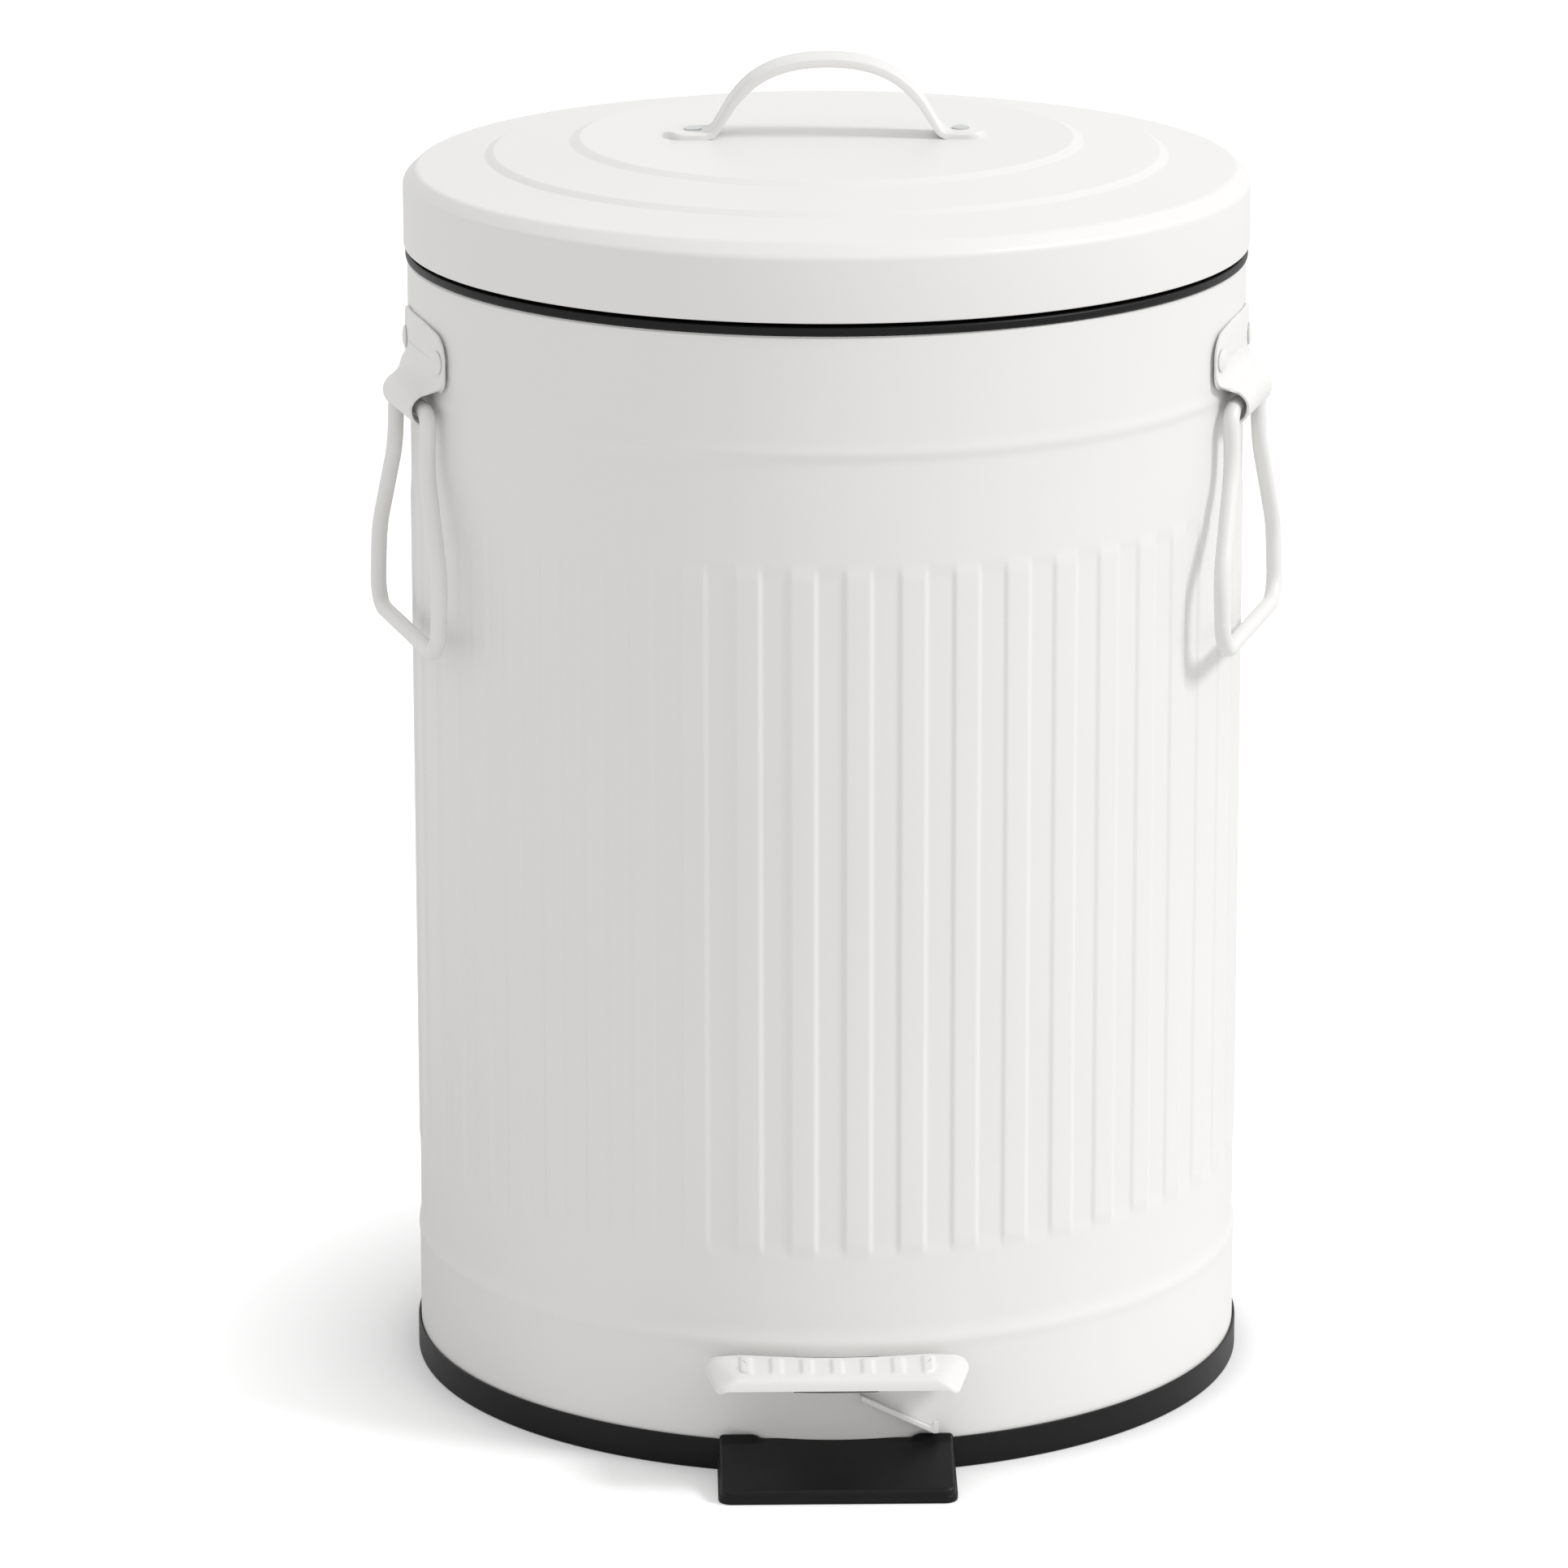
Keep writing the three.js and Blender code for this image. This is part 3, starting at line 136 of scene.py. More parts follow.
def black_plastic():
    """Moulded black polypropylene: nearly even colour, with the fine grain of an etched mould
    of about 0.3 mm, which shades itself and so dims its shine, and soft clouds in its gloss."""
    material = bpy.data.materials.new("black polypropylene")
    material.use_nodes = True
    tree = material.node_tree
    surface = tree.nodes["Principled BSDF"]
    surface.inputs["IOR"].default_value = 1.49
    surface.inputs["Specular IOR Level"].default_value = 0.22
    place = add_node(tree, "ShaderNodeTexCoord", {})
    grain = add_node(tree, "ShaderNodeTexNoise", {"Scale": 3300.0, "Detail": 2.0},
                     {"Vector": place.outputs["Object"]})
    cloud = add_node(tree, "ShaderNodeTexNoise", {"Scale": 28.0, "Detail": 3.0},
                     {"Vector": place.outputs["Object"]})
    gloss = add_node(tree, "ShaderNodeMapRange", {"To Min": 0.36, "To Max": 0.48},
                     {"Value": cloud.outputs["Fac"]})
    shade = add_node(tree, "ShaderNodeMix", {"data_type": "RGBA", 6: linear("#0d0d0e"),
                                             7: linear("#121213")},
                     {0: cloud.outputs["Fac"]})
    bump = add_node(tree, "ShaderNodeBump", {"Strength": 0.35, "Distance": 0.00003},
                    {"Height": grain.outputs["Fac"]})
    tree.links.new(shade.outputs[2], surface.inputs["Base Color"])
    tree.links.new(gloss.outputs["Result"], surface.inputs["Roughness"])
    tree.links.new(bump.outputs["Normal"], surface.inputs["Normal"])
    return material


BLACK_PLASTIC = black_plastic()


def finish(piece, material, body, node):
    """Gives a piece its material, joins it to its CAD body and replaces its node."""
    piece.data.materials.clear()
    piece.data.materials.append(material)
    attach(piece, body)
    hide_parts(node)


ring_profile = filleted([
    (118.0, 0.0), (126.1, 0.0), (126.1, 9.7), (125.45, 9.7), (125.45, 2.7), (121.0, 2.7),
    (121.0, 8.0), (118.0, 8.0),
], [0.4, 0.8, 0.32, 0.25, 0.2, 0.4, 0.5, 0.5])
base_ring = skin("base_ring_look", turned(ring_profile, 240))
finish(base_ring, BLACK_PLASTIC, "body", "base_ring")


# ---- bottom disc ------------------------------------------------------------------------
# A disc of zinc-plated steel sheet that lies on the ring's ledge. A pressed ring stiffens
# it, and it closes the body from below.
def zinc_steel():
    """Bright zinc plate on steel: a metal with faint rolling marks about 0.4 mm apart along
    one way and soft patches in its gloss."""
    material = bpy.data.materials.new("zinc-plated steel")
    material.use_nodes = True
    tree = material.node_tree
    surface = tree.nodes["Principled BSDF"]
    surface.inputs["Metallic"].default_value = 1.0
    place = add_node(tree, "ShaderNodeTexCoord", {})
    along = add_node(tree, "ShaderNodeMapping", {"Scale": (60.0, 2500.0, 2500.0)},
                     {"Vector": place.outputs["Object"]})
    marks = add_node(tree, "ShaderNodeTexNoise", {"Scale": 1.0, "Detail": 3.0},
                     {"Vector": along.outputs["Vector"]})
    patches = add_node(tree, "ShaderNodeTexNoise", {"Scale": 90.0, "Detail": 3.0},
                       {"Vector": place.outputs["Object"]})
    gloss = add_node(tree, "ShaderNodeMapRange", {"To Min": 0.24, "To Max": 0.4},
                     {"Value": patches.outputs["Fac"]})
    shade = add_node(tree, "ShaderNodeMix", {"data_type": "RGBA", 6: linear("#cfd1d2"),
                                             7: linear("#dddedf")},
                     {0: patches.outputs["Fac"]})
    bump = add_node(tree, "ShaderNodeBump", {"Strength": 0.25, "Distance": 0.00002},
                    {"Height": marks.outputs["Fac"]})
    tree.links.new(shade.outputs[2], surface.inputs["Base Color"])
    tree.links.new(gloss.outputs["Result"], surface.inputs["Roughness"])
    tree.links.new(bump.outputs["Normal"], surface.inputs["Normal"])
    return material


ZINC_STEEL = zinc_steel()

disc_top = filleted([
    (0.0, 9.2), (78.0, 9.2), (81.0, 10.4), (87.0, 10.4), (90.0, 9.2), (108.0, 9.2),
    (109.5, 9.2), (123.2, 9.2),
], [0, 1.5, 1.5, 1.5, 1.5, 0, 0, 0], closed=False)
disc_under = disc_top[::-1] - [0, 1.2]
bottom_disc = skin("bottom_disc_look", turned(np.vstack([disc_top, disc_under])), rows="points")
finish(bottom_disc, ZINC_STEEL, "body", "bottom_disc")


# ---- front foot -------------------------------------------------------------------------
# A hollow wedge of black polypropylene that reaches out under the pedal, so that the bin
# doesn't tip when it is pressed. Its rear laps over the base ring's edge, and a low lip stands
# up against the body at each side.
FOOT_HALF = 35.0
FOOT_FRONT = -151.5
FOOT_REAR = -123.2
FOOT_EDGE_Z = 3.9
FOOT_RISE = 11.3 - FOOT_EDGE_Z


def loop(half_rear, half_front, rear, front, round_rear, round_front, steps=(8, 60, 16)):
    """Closed outline (x, y) of a tray: a trapezoid with round corners, evenly divided along
    its corners, its long sides and its short sides."""
    corners = np.array([(half_front, front), (half_rear, rear), (-half_rear, rear),
                        (-half_front, front)], float)
    radii = np.array([round_front, round_rear, round_rear, round_front], float)
    arcs = filleted(corners, np.maximum(radii, 0.02), steps[0]).reshape(4, steps[0] + 1, 2)
    parts = []
    for k, count in enumerate([steps[2], steps[1], steps[2], steps[1]]):
        share = np.linspace(0, 1, count + 1)[1:-1, None]
        start, end = arcs[k][-1], arcs[(k + 1) % 4][0]
        parts += [arcs[k], start + share * (end - start)]
    return np.vstack(parts)


def cut(piece, tool, sharp=35):
    """Takes the volume of a tool out of a piece, and deletes the tool."""
    change = piece.modifiers.new("cut", "BOOLEAN")
    change.object = tool
    change.operation = "DIFFERENCE"
    change.solver = "EXACT"
    graph = bpy.context.evaluated_depsgraph_get()
    result = bpy.data.meshes.new_from_object(piece.evaluated_get(graph))
    piece.modifiers.clear()
    piece.data = result
    result.set_sharp_from_angle(angle=math.radians(sharp))
    bpy.data.objects.remove(tool)


def block(low, high):
    """Plain box between two corners, used as a cutting tool."""
    (x0, y0, z0), (x1, y1, z1) = low, high
    outline = np.array([(x0, y0), (x1, y0), (x1, y1), (x0, y1)], float)
    return skin("tool", np.stack([np.column_stack([outline, [z] * 4]) for z in (z0, z1)]),
                rows="capped")


def eased(share):
    """Smooth step from 0 to 1: three times the square less twice the cube of the share."""
    share = np.clip(share, 0, 1)
    return share * share * (3 - 2 * share)


def foot_level(inset, height, slope):
    """One outline of the foot. Its height is a fixed one plus a share of the top's slope and
    of the two lips at the rear."""
    half = FOOT_HALF - inset
    outline = loop(half, half, FOOT_REAR - inset, FOOT_FRONT + inset, 1.0,
                   max(4.0 - inset, 0.5), (8, 48, 24))
    x, y = outline.T
    rise = FOOT_RISE * (y - FOOT_FRONT) / (FOOT_REAR - FOOT_FRONT)
    lip = 1.3 * eased((np.abs(x) - 21.5) / 3) * eased((y + 126.5) / 1.7)
    return np.column_stack([outline, height + slope * (rise + lip)])


# inset, height and share of the slope: foot's edge, groove round its side, edge of its top
foot_levels = [
    (0.5, 0.0, 0), (0.15, 0.15, 0), (0.0, 0.5, 0), (0.0, 1.45, 0.35), (0.1, 1.7, 0.4),
    (0.5, 1.8, 0.42), (0.62, 1.95, 0.45), (0.62, 3.1, 1), (0.75, 3.5, 1), (1.05, 3.8, 1),
] + [(inset, FOOT_EDGE_Z, 1) for inset in (1.4, 1.8, 2.6, 3.4, 4.2)]
foot = skin("front_foot_look", np.stack([foot_level(*level) for level in foot_levels]),
            rows="capped")
inside = loop(32.5, 32.5, -125.0, -149.0, 1, 2)
cut(foot, skin("tool", np.stack([
    np.column_stack([inside, np.full(len(inside), z)]) for z in (-1.0, 1.6)]), rows="capped"))
cut(foot, skin("tool", turned(np.array([
    (0.0, -2.0), (126.35, -2.0), (126.35, 9.95), (125.5, 9.95), (125.5, 16.0), (0.0, 16.0)]),
    480), rows="points"))
finish(foot, BLACK_PLASTIC, "body", "front_foot")


# ---- body shell -------------------------------------------------------------------------
# Steel sheet rolled to a tube and joined by a lapped seam at the rear. The ribs are embossed
# every 16 mm of sheet; a band with a bead is rolled out at each end. It is powder coated.
def powder_coat():
    """White polyester powder coat, baked on steel. It has an orange peel of 1 to 3 mm waves, a
    finer texture, and faint clouds in colour and gloss."""
    material = bpy.data.materials.new("white powder coat")
    material.use_nodes = True
    tree = material.node_tree
    surface = tree.nodes["Principled BSDF"]
    surface.inputs["IOR"].default_value = 1.5
    place = add_node(tree, "ShaderNodeTexCoord", {})
    peel = add_node(tree, "ShaderNodeTexNoise", {"Scale": 480.0, "Detail": 2.0},
                    {"Vector": place.outputs["Object"]})
    fine = add_node(tree, "ShaderNodeTexNoise", {"Scale": 2600.0, "Detail": 2.0},
                    {"Vector": place.outputs["Object"]})
    cloud = add_node(tree, "ShaderNodeTexNoise", {"Scale": 14.0, "Detail": 3.0},
                     {"Vector": place.outputs["Object"]})
    both = add_node(tree, "ShaderNodeMath", {"operation": "MULTIPLY_ADD", 1: 0.3},
                    {0: fine.outputs["Fac"], 2: peel.outputs["Fac"]})
    gloss = add_node(tree, "ShaderNodeMapRange", {"To Min": 0.34, "To Max": 0.46},
                     {"Value": cloud.outputs["Fac"]})
    shade = add_node(tree, "ShaderNodeMix", {"data_type": "RGBA", 6: linear("#e5e4e2"),
                                             7: linear("#e9e8e6")},
                     {0: cloud.outputs["Fac"]})
    bump = add_node(tree, "ShaderNodeBump", {"Strength": 0.2, "Distance": 0.00004},
                    {"Height": both.outputs["Value"]})
    tree.links.new(shade.outputs[2], surface.inputs["Base Color"])
    tree.links.new(gloss.outputs["Result"], surface.inputs["Roughness"])
    tree.links.new(bump.outputs["Normal"], surface.inputs["Normal"])
    return material


POWDER_COAT = powder_coat()


WALL = 124.8
BEAD = 0.27
RIBS = 49
RIB_PITCH = 2 * math.pi / RIBS
rib_columns = np.array([
    -8.0, -6.6, -5.3, -4.85, -4.5, -4.15, -3.8, -3.45, -3.1, -2.7, -1.3,
    0.0, 1.3, 2.7, 3.1, 3.45, 3.8, 4.15, 4.5, 4.85, 5.3, 6.6]) / 16.0
first_rib = math.radians(2.88)
azimuth = first_rib + RIB_PITCH * (np.arange(RIBS)[:, None] + rib_columns).ravel()
seam = math.pi + np.array([-14, -0.3, -0.1, 0.1, 0.3, 12]) / WALL
azimuth = np.sort(np.concatenate([azimuth % (2 * math.pi), seam]))
from_rib = (azimuth - first_rib + RIB_PITCH / 2) % RIB_PITCH - RIB_PITCH / 2
from_seam = (azimuth - math.pi) * WALL
rib = 1 - eased((np.abs(from_rib) * WALL - 3.05) / 1.75)
rib_lift = (0.66 * rib - 0.3) * eased((np.abs(from_seam) - 9) / 3)
seam_lift = 0.35 * eased((from_seam + 14) / 10) * (1 - eased((from_seam + 0.1) / 0.2))

heights = np.concatenate([
    [3.0, 3.15, 3.6], np.linspace(8, 36, 4), np.linspace(37, 46, 14), [50, 60, 65.5],
    np.linspace(66, 71.5, 8), np.linspace(90, 250, 9), np.linspace(269.5, 275, 8),
    [276, 290, 303], np.linspace(304, 313, 14), [325, 336, 340.9, 341.35, 341.5]])
edge = 0.45 * (eased((3.6 - heights) / 0.6) + eased((heights - 340.9) / 0.6))
bands = 0.4 * (1 - eased((heights - 40.0) / 5.5)) + 0.4 * eased((heights - 303.8) / 3.7)
beads = sum(BEAD * np.exp(-((heights - middle) / 1.9) ** 2) for middle in (39.8, 307.4))
radius = WALL + bands + beads - edge
fluted = eased((heights - 66) / 5) * eased((275 - heights) / 5)
outer = radius[:, None] + fluted[:, None] * rib_lift + seam_lift
inner = np.full((2, len(azimuth)), 123.6)
radii = np.vstack([outer, inner])
levels = np.concatenate([heights, [341.2, 3.3]])[:, None]
body_shell = skin("body_shell_look", np.stack([
    radii * np.sin(azimuth), -radii * np.cos(azimuth), levels + 0 * azimuth], -1))
cut(body_shell, block((-12.5, -131, 25.1), (12.5, -117, 36.3)))
cut(body_shell, block((-11.5, 111, 335.0), (11.5, 131, 346)))
finish(body_shell, POWDER_COAT, "body", "body_shell")


# ---- lever and its bracket --------------------------------------------------------------
# A flat bar of zinc-plated steel, folded round a pin that sits in a small bracket on the
# bottom disc. Pressing its front end lifts its rear end and the rod that stands on it.
def eased_edges(node, width):
    """Keeps a CAD node as it is, with small rounds on its edges and smooth shading."""
    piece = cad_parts[node]
    round_edges = piece.modifiers.new("rounds", "BEVEL")
    round_edges.width = width
    round_edges.segments = 2
    round_edges.limit_method = "ANGLE"
    round_edges.angle_limit = math.radians(34)
    even = piece.modifiers.new("even", "WEIGHTED_NORMAL")
    even.keep_sharp = True
    piece.data.materials.clear()
    return piece


for node in ("pedal_lever", "lever_bracket", "lever_pin"):
    eased_edges(node, 0.0003).data.materials.append(ZINC_STEEL)


# ---- pedal ------------------------------------------------------------------------------
# A tray pressed from steel sheet, with flared sides and seven ribs across its tread. It is
# welded onto the end of the lever and powder coated like the body.
TREAD_Z = 37.2
RIM_Z = 33.5
SHEET = 1.2
TRAY_FRONT = -147.5
TRAY_DEPTH = 27.1
BODY_FACE = 126.5
rib_places = (np.arange(7) - 3) * 8.9


def body_front(x, gap=0.0):
    """Y of a circle about the body's axis, at each x and at a gap off the body's face."""
    return -np.sqrt((BODY_FACE + gap) ** 2 - x ** 2)


def tread_ribs(points):
    """Height that the ribs add at each point: a low round ridge, smooth at its two ends."""
    x, y = points.T
    away = np.abs(x[:, None] - rib_places)
    ridge = (1 - eased((away - 0.9) / 1.6)).sum(1)
    return 0.7 * ridge * eased((y + 143.8) / 1.8) * eased((body_front(x) - 3.2 - y) / 1.8)


def pedal_level(row, height, share=1.0, ribs=0.0, inset=0.0):
    """One outline of the tray. Its rear follows the round of the body, its sides draw in to
    the rounded rear corners, and the share draws it in to the middle line of the tread. Its
    front corners hang a little lower at the rim."""
    rear_side, front_side, front, rear = [value + inset for value in row]
    front += TRAY_FRONT
    plan = loop(39.5 - rear_side, 35.4 - front_side, TRAY_FRONT + TRAY_DEPTH, front, 0.1, 3.2,
                (10, 150, 30))
    along = (plan[:, 1] - TRAY_FRONT) / TRAY_DEPTH
    plan[:, 0] *= 1 - 0.05 * eased((along - 0.6) / 0.4) ** 2
    round_off = 2.2 * eased((np.abs(plan[:, 0]) - 32.0 + rear_side) / 6.0) * (along > 0.9)
    behind = body_front(plan[:, 0], rear) - round_off
    plan[:, 1] = np.minimum(front + along * (behind - front), behind)
    middle = np.column_stack([np.clip(plan[:, 0], -26, 26), np.full(len(plan), -136.4)])
    plan = middle + share * (plan - middle)
    corner = np.hypot(np.abs(plan[:, 0]) - 34.6, plan[:, 1] + 146.8)
    hang = 0.9 * np.exp(-(corner / 1.6) ** 2) * max(0.0, (34.7 - height) / 1.2)
    return np.column_stack([plan, height - hang + ribs * tread_ribs(plan)])


# insets from the rim (at the rear of each side, at its front, along the front and at the rear)
# and the height, from the rim up to the tread
rim_to_tread = [
    ((-0.8, 0.0, 0.0, 0.0), RIM_Z), ((-0.8, 0.2, 0.02, 0.0), 33.9), ((-0.5, 1.4, 0.1, 0.1), 34.6),
    ((0.3, 2.6, 0.2, 0.3), 35.3), ((1.4, 3.9, 0.35, 0.5), 36.0), ((2.9, 4.9, 0.65, 0.8), 36.6),
    ((5.2, 5.7, 1.15, 1.1), 36.97), ((7.4, 6.4, 1.9, 1.5), 37.13), ((9.4, 7.2, 3.0, 2.1), TREAD_Z)]
tread_row = rim_to_tread[-1][0]
shares = [0.93, 0.86, 0.78, 0.7, 0.6, 0.5, 0.4, 0.3, 0.2, 0.1, 0.0]
upper = ([pedal_level(row, rise) for row, rise in rim_to_tread]
         + [pedal_level(tread_row, TREAD_Z, share, 1) for share in shares])
lower = ([pedal_level(tread_row, TREAD_Z - SHEET, share, 1) for share in shares[::-1]]
         + [pedal_level(row, max(rise - SHEET, RIM_Z), 1.0, 0, SHEET * 0.9)
            for row, rise in rim_to_tread[::-1]])
pedal = skin("pedal_look", np.stack(upper + lower), rows="closed", sharp=50)
cut(pedal, block((-12.0, -130.0, 30.0), (12.0, -120.0, 35.75)), sharp=50)
finish(pedal, POWDER_COAT, "pedal", "pedal")


# ---- pedal stop -------------------------------------------------------------------------
# A narrow strip of steel that slants down the front of the body below the pedal. Its outer
# edge is turned up and its lower end is raised to a small hook.
stop_share = np.concatenate([np.linspace(0, 1, 30), [1.02, 1.04, 1.07, 1.1]])
stop_azimuth = np.radians(3.2 + 9.2 * stop_share)
stop_height = 24.4 - 10.9 * np.minimum(stop_share, 1.03)
stop_lift = 1.9 * eased((stop_share - 0.985) / 0.05)
stop_section = filleted([(0, 0), (4.8, -0.3), (4.8, 1.5), (4.1, 1.5), (4.0, 0.7), (0, 0.7)],
                        [0.1, 0.3, 0.3, 0.3, 0.2, 0.1], 4)
stop_radius = 125.45 + stop_section[:, 0]
stop_rise = stop_section[:, 1] + stop_lift[:, None] * (stop_section[:, 1] > 0.9)
pedal_stop = skin("pedal_stop_look", np.stack([
    stop_radius * np.sin(stop_azimuth)[:, None], -stop_radius * np.cos(stop_azimuth)[:, None],
    stop_height[:, None] + stop_rise], -1), rows="capped")
finish(pedal_stop, POWDER_COAT, "body", "pedal_stop")


# ---- lift rod and its guides ------------------------------------------------------------
# A zinc-plated wire rod at the rear, inside the body. It carries the lever's push up to the
# lid's hinge arm and slides in two guides of black plastic.
eased_edges("lift_rod", 0.0004).data.materials.append(ZINC_STEEL)
for node in ("rod_guide_lower", "rod_guide_upper"):
    eased_edges(node, 0.0005).data.materials.append(BLACK_PLASTIC)


# ---- rim collar -------------------------------------------------------------------------
# A black polypropylene ring on the body's upper edge. Its skirt holds it inside the body, the
# bucket hangs on it, and the lid closes onto it. It is left open where the rod passes.
collar = skin("rim_collar_look", turned(filleted([
    (119.8, 341.8), (119.8, 344.3), (125.7, 344.3), (125.7, 341.8), (123.2, 341.8),
    (123.2, 330.0), (121.3, 330.0), (121.3, 341.8),
], [0.4, 0.6, 0.9, 0.5, 0.2, 0.4, 0.4, 0.2]), 240))
cut(collar, block((-11.5, 111, 325.0), (11.5, 131, 346)))
finish(collar, BLACK_PLASTIC, "body", "rim_collar")


# ---- bucket -----------------------------------------------------------------------------
# The lift-out bucket, moulded in black polypropylene. It tapers to its foot and hangs by a
# flat rim with a rolled edge.
bucket = skin("bucket_look", turned(filleted([
    (0, 52), (70, 52), (72, 53.2), (90, 53.2), (92, 52), (97, 52), (100.0, 55), (104.6, 205),
    (105.4, 206), (108.5, 342.3), (110.5, 344.3), (123.5, 344.3), (123.5, 346.3), (108.5, 346.3),
    (107.0, 344.8), (103.7, 206), (103.0, 205), (98.5, 55.5), (96.0, 53.6), (91, 53.6),
    (89, 54.8), (73, 54.8), (71, 53.6), (0, 53.6),
], [0, 1, 1, 1, 1, 2.5, 3, 0.5, 0.5, 1, 1.5, 0.8, 0.9, 1.5, 1.5, 0.5, 0.5, 2, 1.5, 1, 1, 1, 1, 0],
    closed=False), 192), rows="points")
cut(bucket, block((-12.5, 111.5, 342.3), (12.5, 131, 350)))
finish(bucket, BLACK_PLASTIC, "body", "bucket")


# ---- bucket bail ------------------------------------------------------------------------
# The bucket's own handle: zinc-plated wire with its ends turned out through the bucket's
# wall. It lies folded down inside the rim.
def swept(path, section, normal):
    """Grid of points of a section moved along a path in one plane. The section's first
    coordinate lies along the plane's normal, and its second one along normal times tangent."""
    tangent = np.gradient(path, axis=0)
    tangent /= np.linalg.norm(tangent, axis=1, keepdims=True)
    side = np.cross(normal, tangent)
    return (path[:, None] + section[None, :, :1] * normal
            + section[None, :, 1:] * side[:, None])


def circle(radius, sides=20):
    """Round section of a wire."""
    angle = np.linspace(0, 2 * np.pi, sides, endpoint=False)
    return radius * np.column_stack([np.cos(angle), np.sin(angle)])


bail_turn = np.linspace(0, 1, 81)[1:-1]
sweep = np.pi * (1 + bail_turn)
arc = np.column_stack([102.5 * np.cos(sweep), 101.0 * np.sin(sweep), 334.0 + 5 * np.sin(sweep)])
hook = np.array([[-110.5, 0, 334.0], [-106.0, 0, 334.0], [-103.4, -0.9, 333.95]])
bail_path = np.vstack([hook, arc, (hook * [-1, 1, 1])[::-1]])
bail_normal = np.array([0.0, -5.0, 101.0]) / math.hypot(5, 101)
bucket_bail = skin("bucket_bail_look", swept(bail_path, circle(1.5), bail_normal), rows="capped")
finish(bucket_bail, ZINC_STEEL, "body", "bucket_bail")


# ---- side brackets ----------------------------------------------------------------------
# A steel plate bent to the round of the body and held by two rivets. A wide tongue is drawn
# out of its lower edge and curls round the wire of the side handle.
BRACKET_TURN = {"left": math.radians(-74.3), "right": math.radians(73.7)}
PLATE_HALF = 24.6
PLATE_BACK = 125.35
BEND_RADIUS = 126.3
HOOK_HALF = 16.4


def beside(side, radius, across, height):
    """Points beside a bracket from the distance to the body's axis, measured square to the
    plane of the side handle, the distance across that plane's middle, and the height."""
    turn = BRACKET_TURN[side]
    return np.stack([radius * math.sin(turn) + across * math.cos(turn),
                     -radius * math.cos(turn) + across * math.sin(turn),
                     height + 0 * across], -1)


def stand_off(side, across):
    """Gap behind a bracket: it grows with the square of the way from the middle, and most of
    it is on the side that faces forwards."""
    forwards = -math.copysign(1, BRACKET_TURN[side]) * across / PLATE_HALF
    return np.where(forwards > 0, 0.9, 0.15) * forwards ** 2


def plate_level(side, inset, depth):
    """One outline of the bent plate at an inset from its edge and a depth from its back: the
    outline is drawn flat, with its top falling to the front, and laid along the round body."""
    half = PLATE_HALF - inset
    low, high = 310.4 + inset, 329.1 - inset
    radii = [max(r - inset, 0.02) for r in (5.0, 6.0, 6.0, 5.0)]
    arcs = filleted([(half, low), (half, high), (-half, high), (-half, low)], radii, 8)
    arcs = arcs.reshape(4, 9, 2)
    share = np.linspace(0, 1, 31)[1:-1, None]
    sides = [arcs[k][-1] + share * (arcs[(k + 1) % 4][0] - arcs[k][-1]) for k in range(4)]
    flat = np.vstack([part for pair in zip(arcs, sides) for part in pair])
    gap = stand_off(side, flat[:, 0])
    flat[:, 1] -= 3.3 * gap * eased((flat[:, 1] - 316) / 10)
    turn = flat[:, 0] / BEND_RADIUS
    radius = PLATE_BACK + gap + depth
    return np.column_stack([radius * np.cos(turn), radius * np.sin(turn), flat[:, 1]])


def tongue(side):
    """Grid of the tongue: its section across the bracket, moved along its outer line. That
    line is a cubic curve through points (radius, height) off the plate and round the wire, one
    list for the tongue's middle and one for its two edges, blended by the square of the way
    between them. The inner face lies one sheet inside, square to the line."""
    middle = np.array([
        (126.03, 322.5), (126.05, 320), (126.35, 317.2), (127.3, 314.4), (128.9, 312.5),
        (130.9, 311.0), (132.6, 309.0), (133.4, 306.3), (133.0, 303.4), (131.7, 301.1),
        (129.9, 299.9), (128.0, 299.7)])
    edge = np.array([
        (126.03, 322.5), (126.05, 317.5), (126.2, 314.0), (126.7, 311.6), (127.9, 310.1),
        (129.9, 309.1), (131.7, 307.6), (132.8, 305.4), (132.7, 302.9), (131.6, 300.8),
        (130.0, 299.8), (128.2, 299.6)])
    fine = np.linspace(0, 11, 78)
    near = np.floor(fine).clip(0, 10).astype(int)
    step = (fine - near)[:, None, None]
    face = np.linspace(-1, 1, 49)
    blend = (face ** 2)[None, :, None]
    points = middle[:, None] * (1 - blend) + edge[:, None] * blend
    padded = np.concatenate([2 * points[:1] - points[1:2], points,
                             2 * points[-1:] - points[-2:-1]])
    p0, p1, p2, p3 = (padded[near + k] for k in range(4))
    line = 0.5 * (2 * p1 + (p2 - p0) * step + (2 * p0 - 5 * p1 + 4 * p2 - p3) * step ** 2
                  + (3 * p1 - p0 - 3 * p2 + p3) * step ** 3)
    run = np.gradient(line, axis=0)
    run /= np.linalg.norm(run, axis=2, keepdims=True)
    inwards = np.stack([run[..., 1], -run[..., 0]], -1)
    across = face * (HOOK_HALF + 7.5 * eased((line[..., 1] - 309.2) / 3.6) ** 0.8)
    straight = eased((315.0 - line[..., 1]) / 6.0)
    sag = (stand_off(side, across) + np.sqrt(126.0 ** 2 - across ** 2) - 126.0) * (1 - straight)
    thin = 0.95 - 0.3 * eased((np.abs(face) - 0.97) / 0.03)
    outside = beside(side, line[..., 0] + sag, across, line[..., 1])
    inner = line + inwards * thin[None, :, None]
    inside = beside(side, inner[..., 0] + sag, across, inner[..., 1])
    return np.concatenate([outside, inside[:, ::-1]], 1)


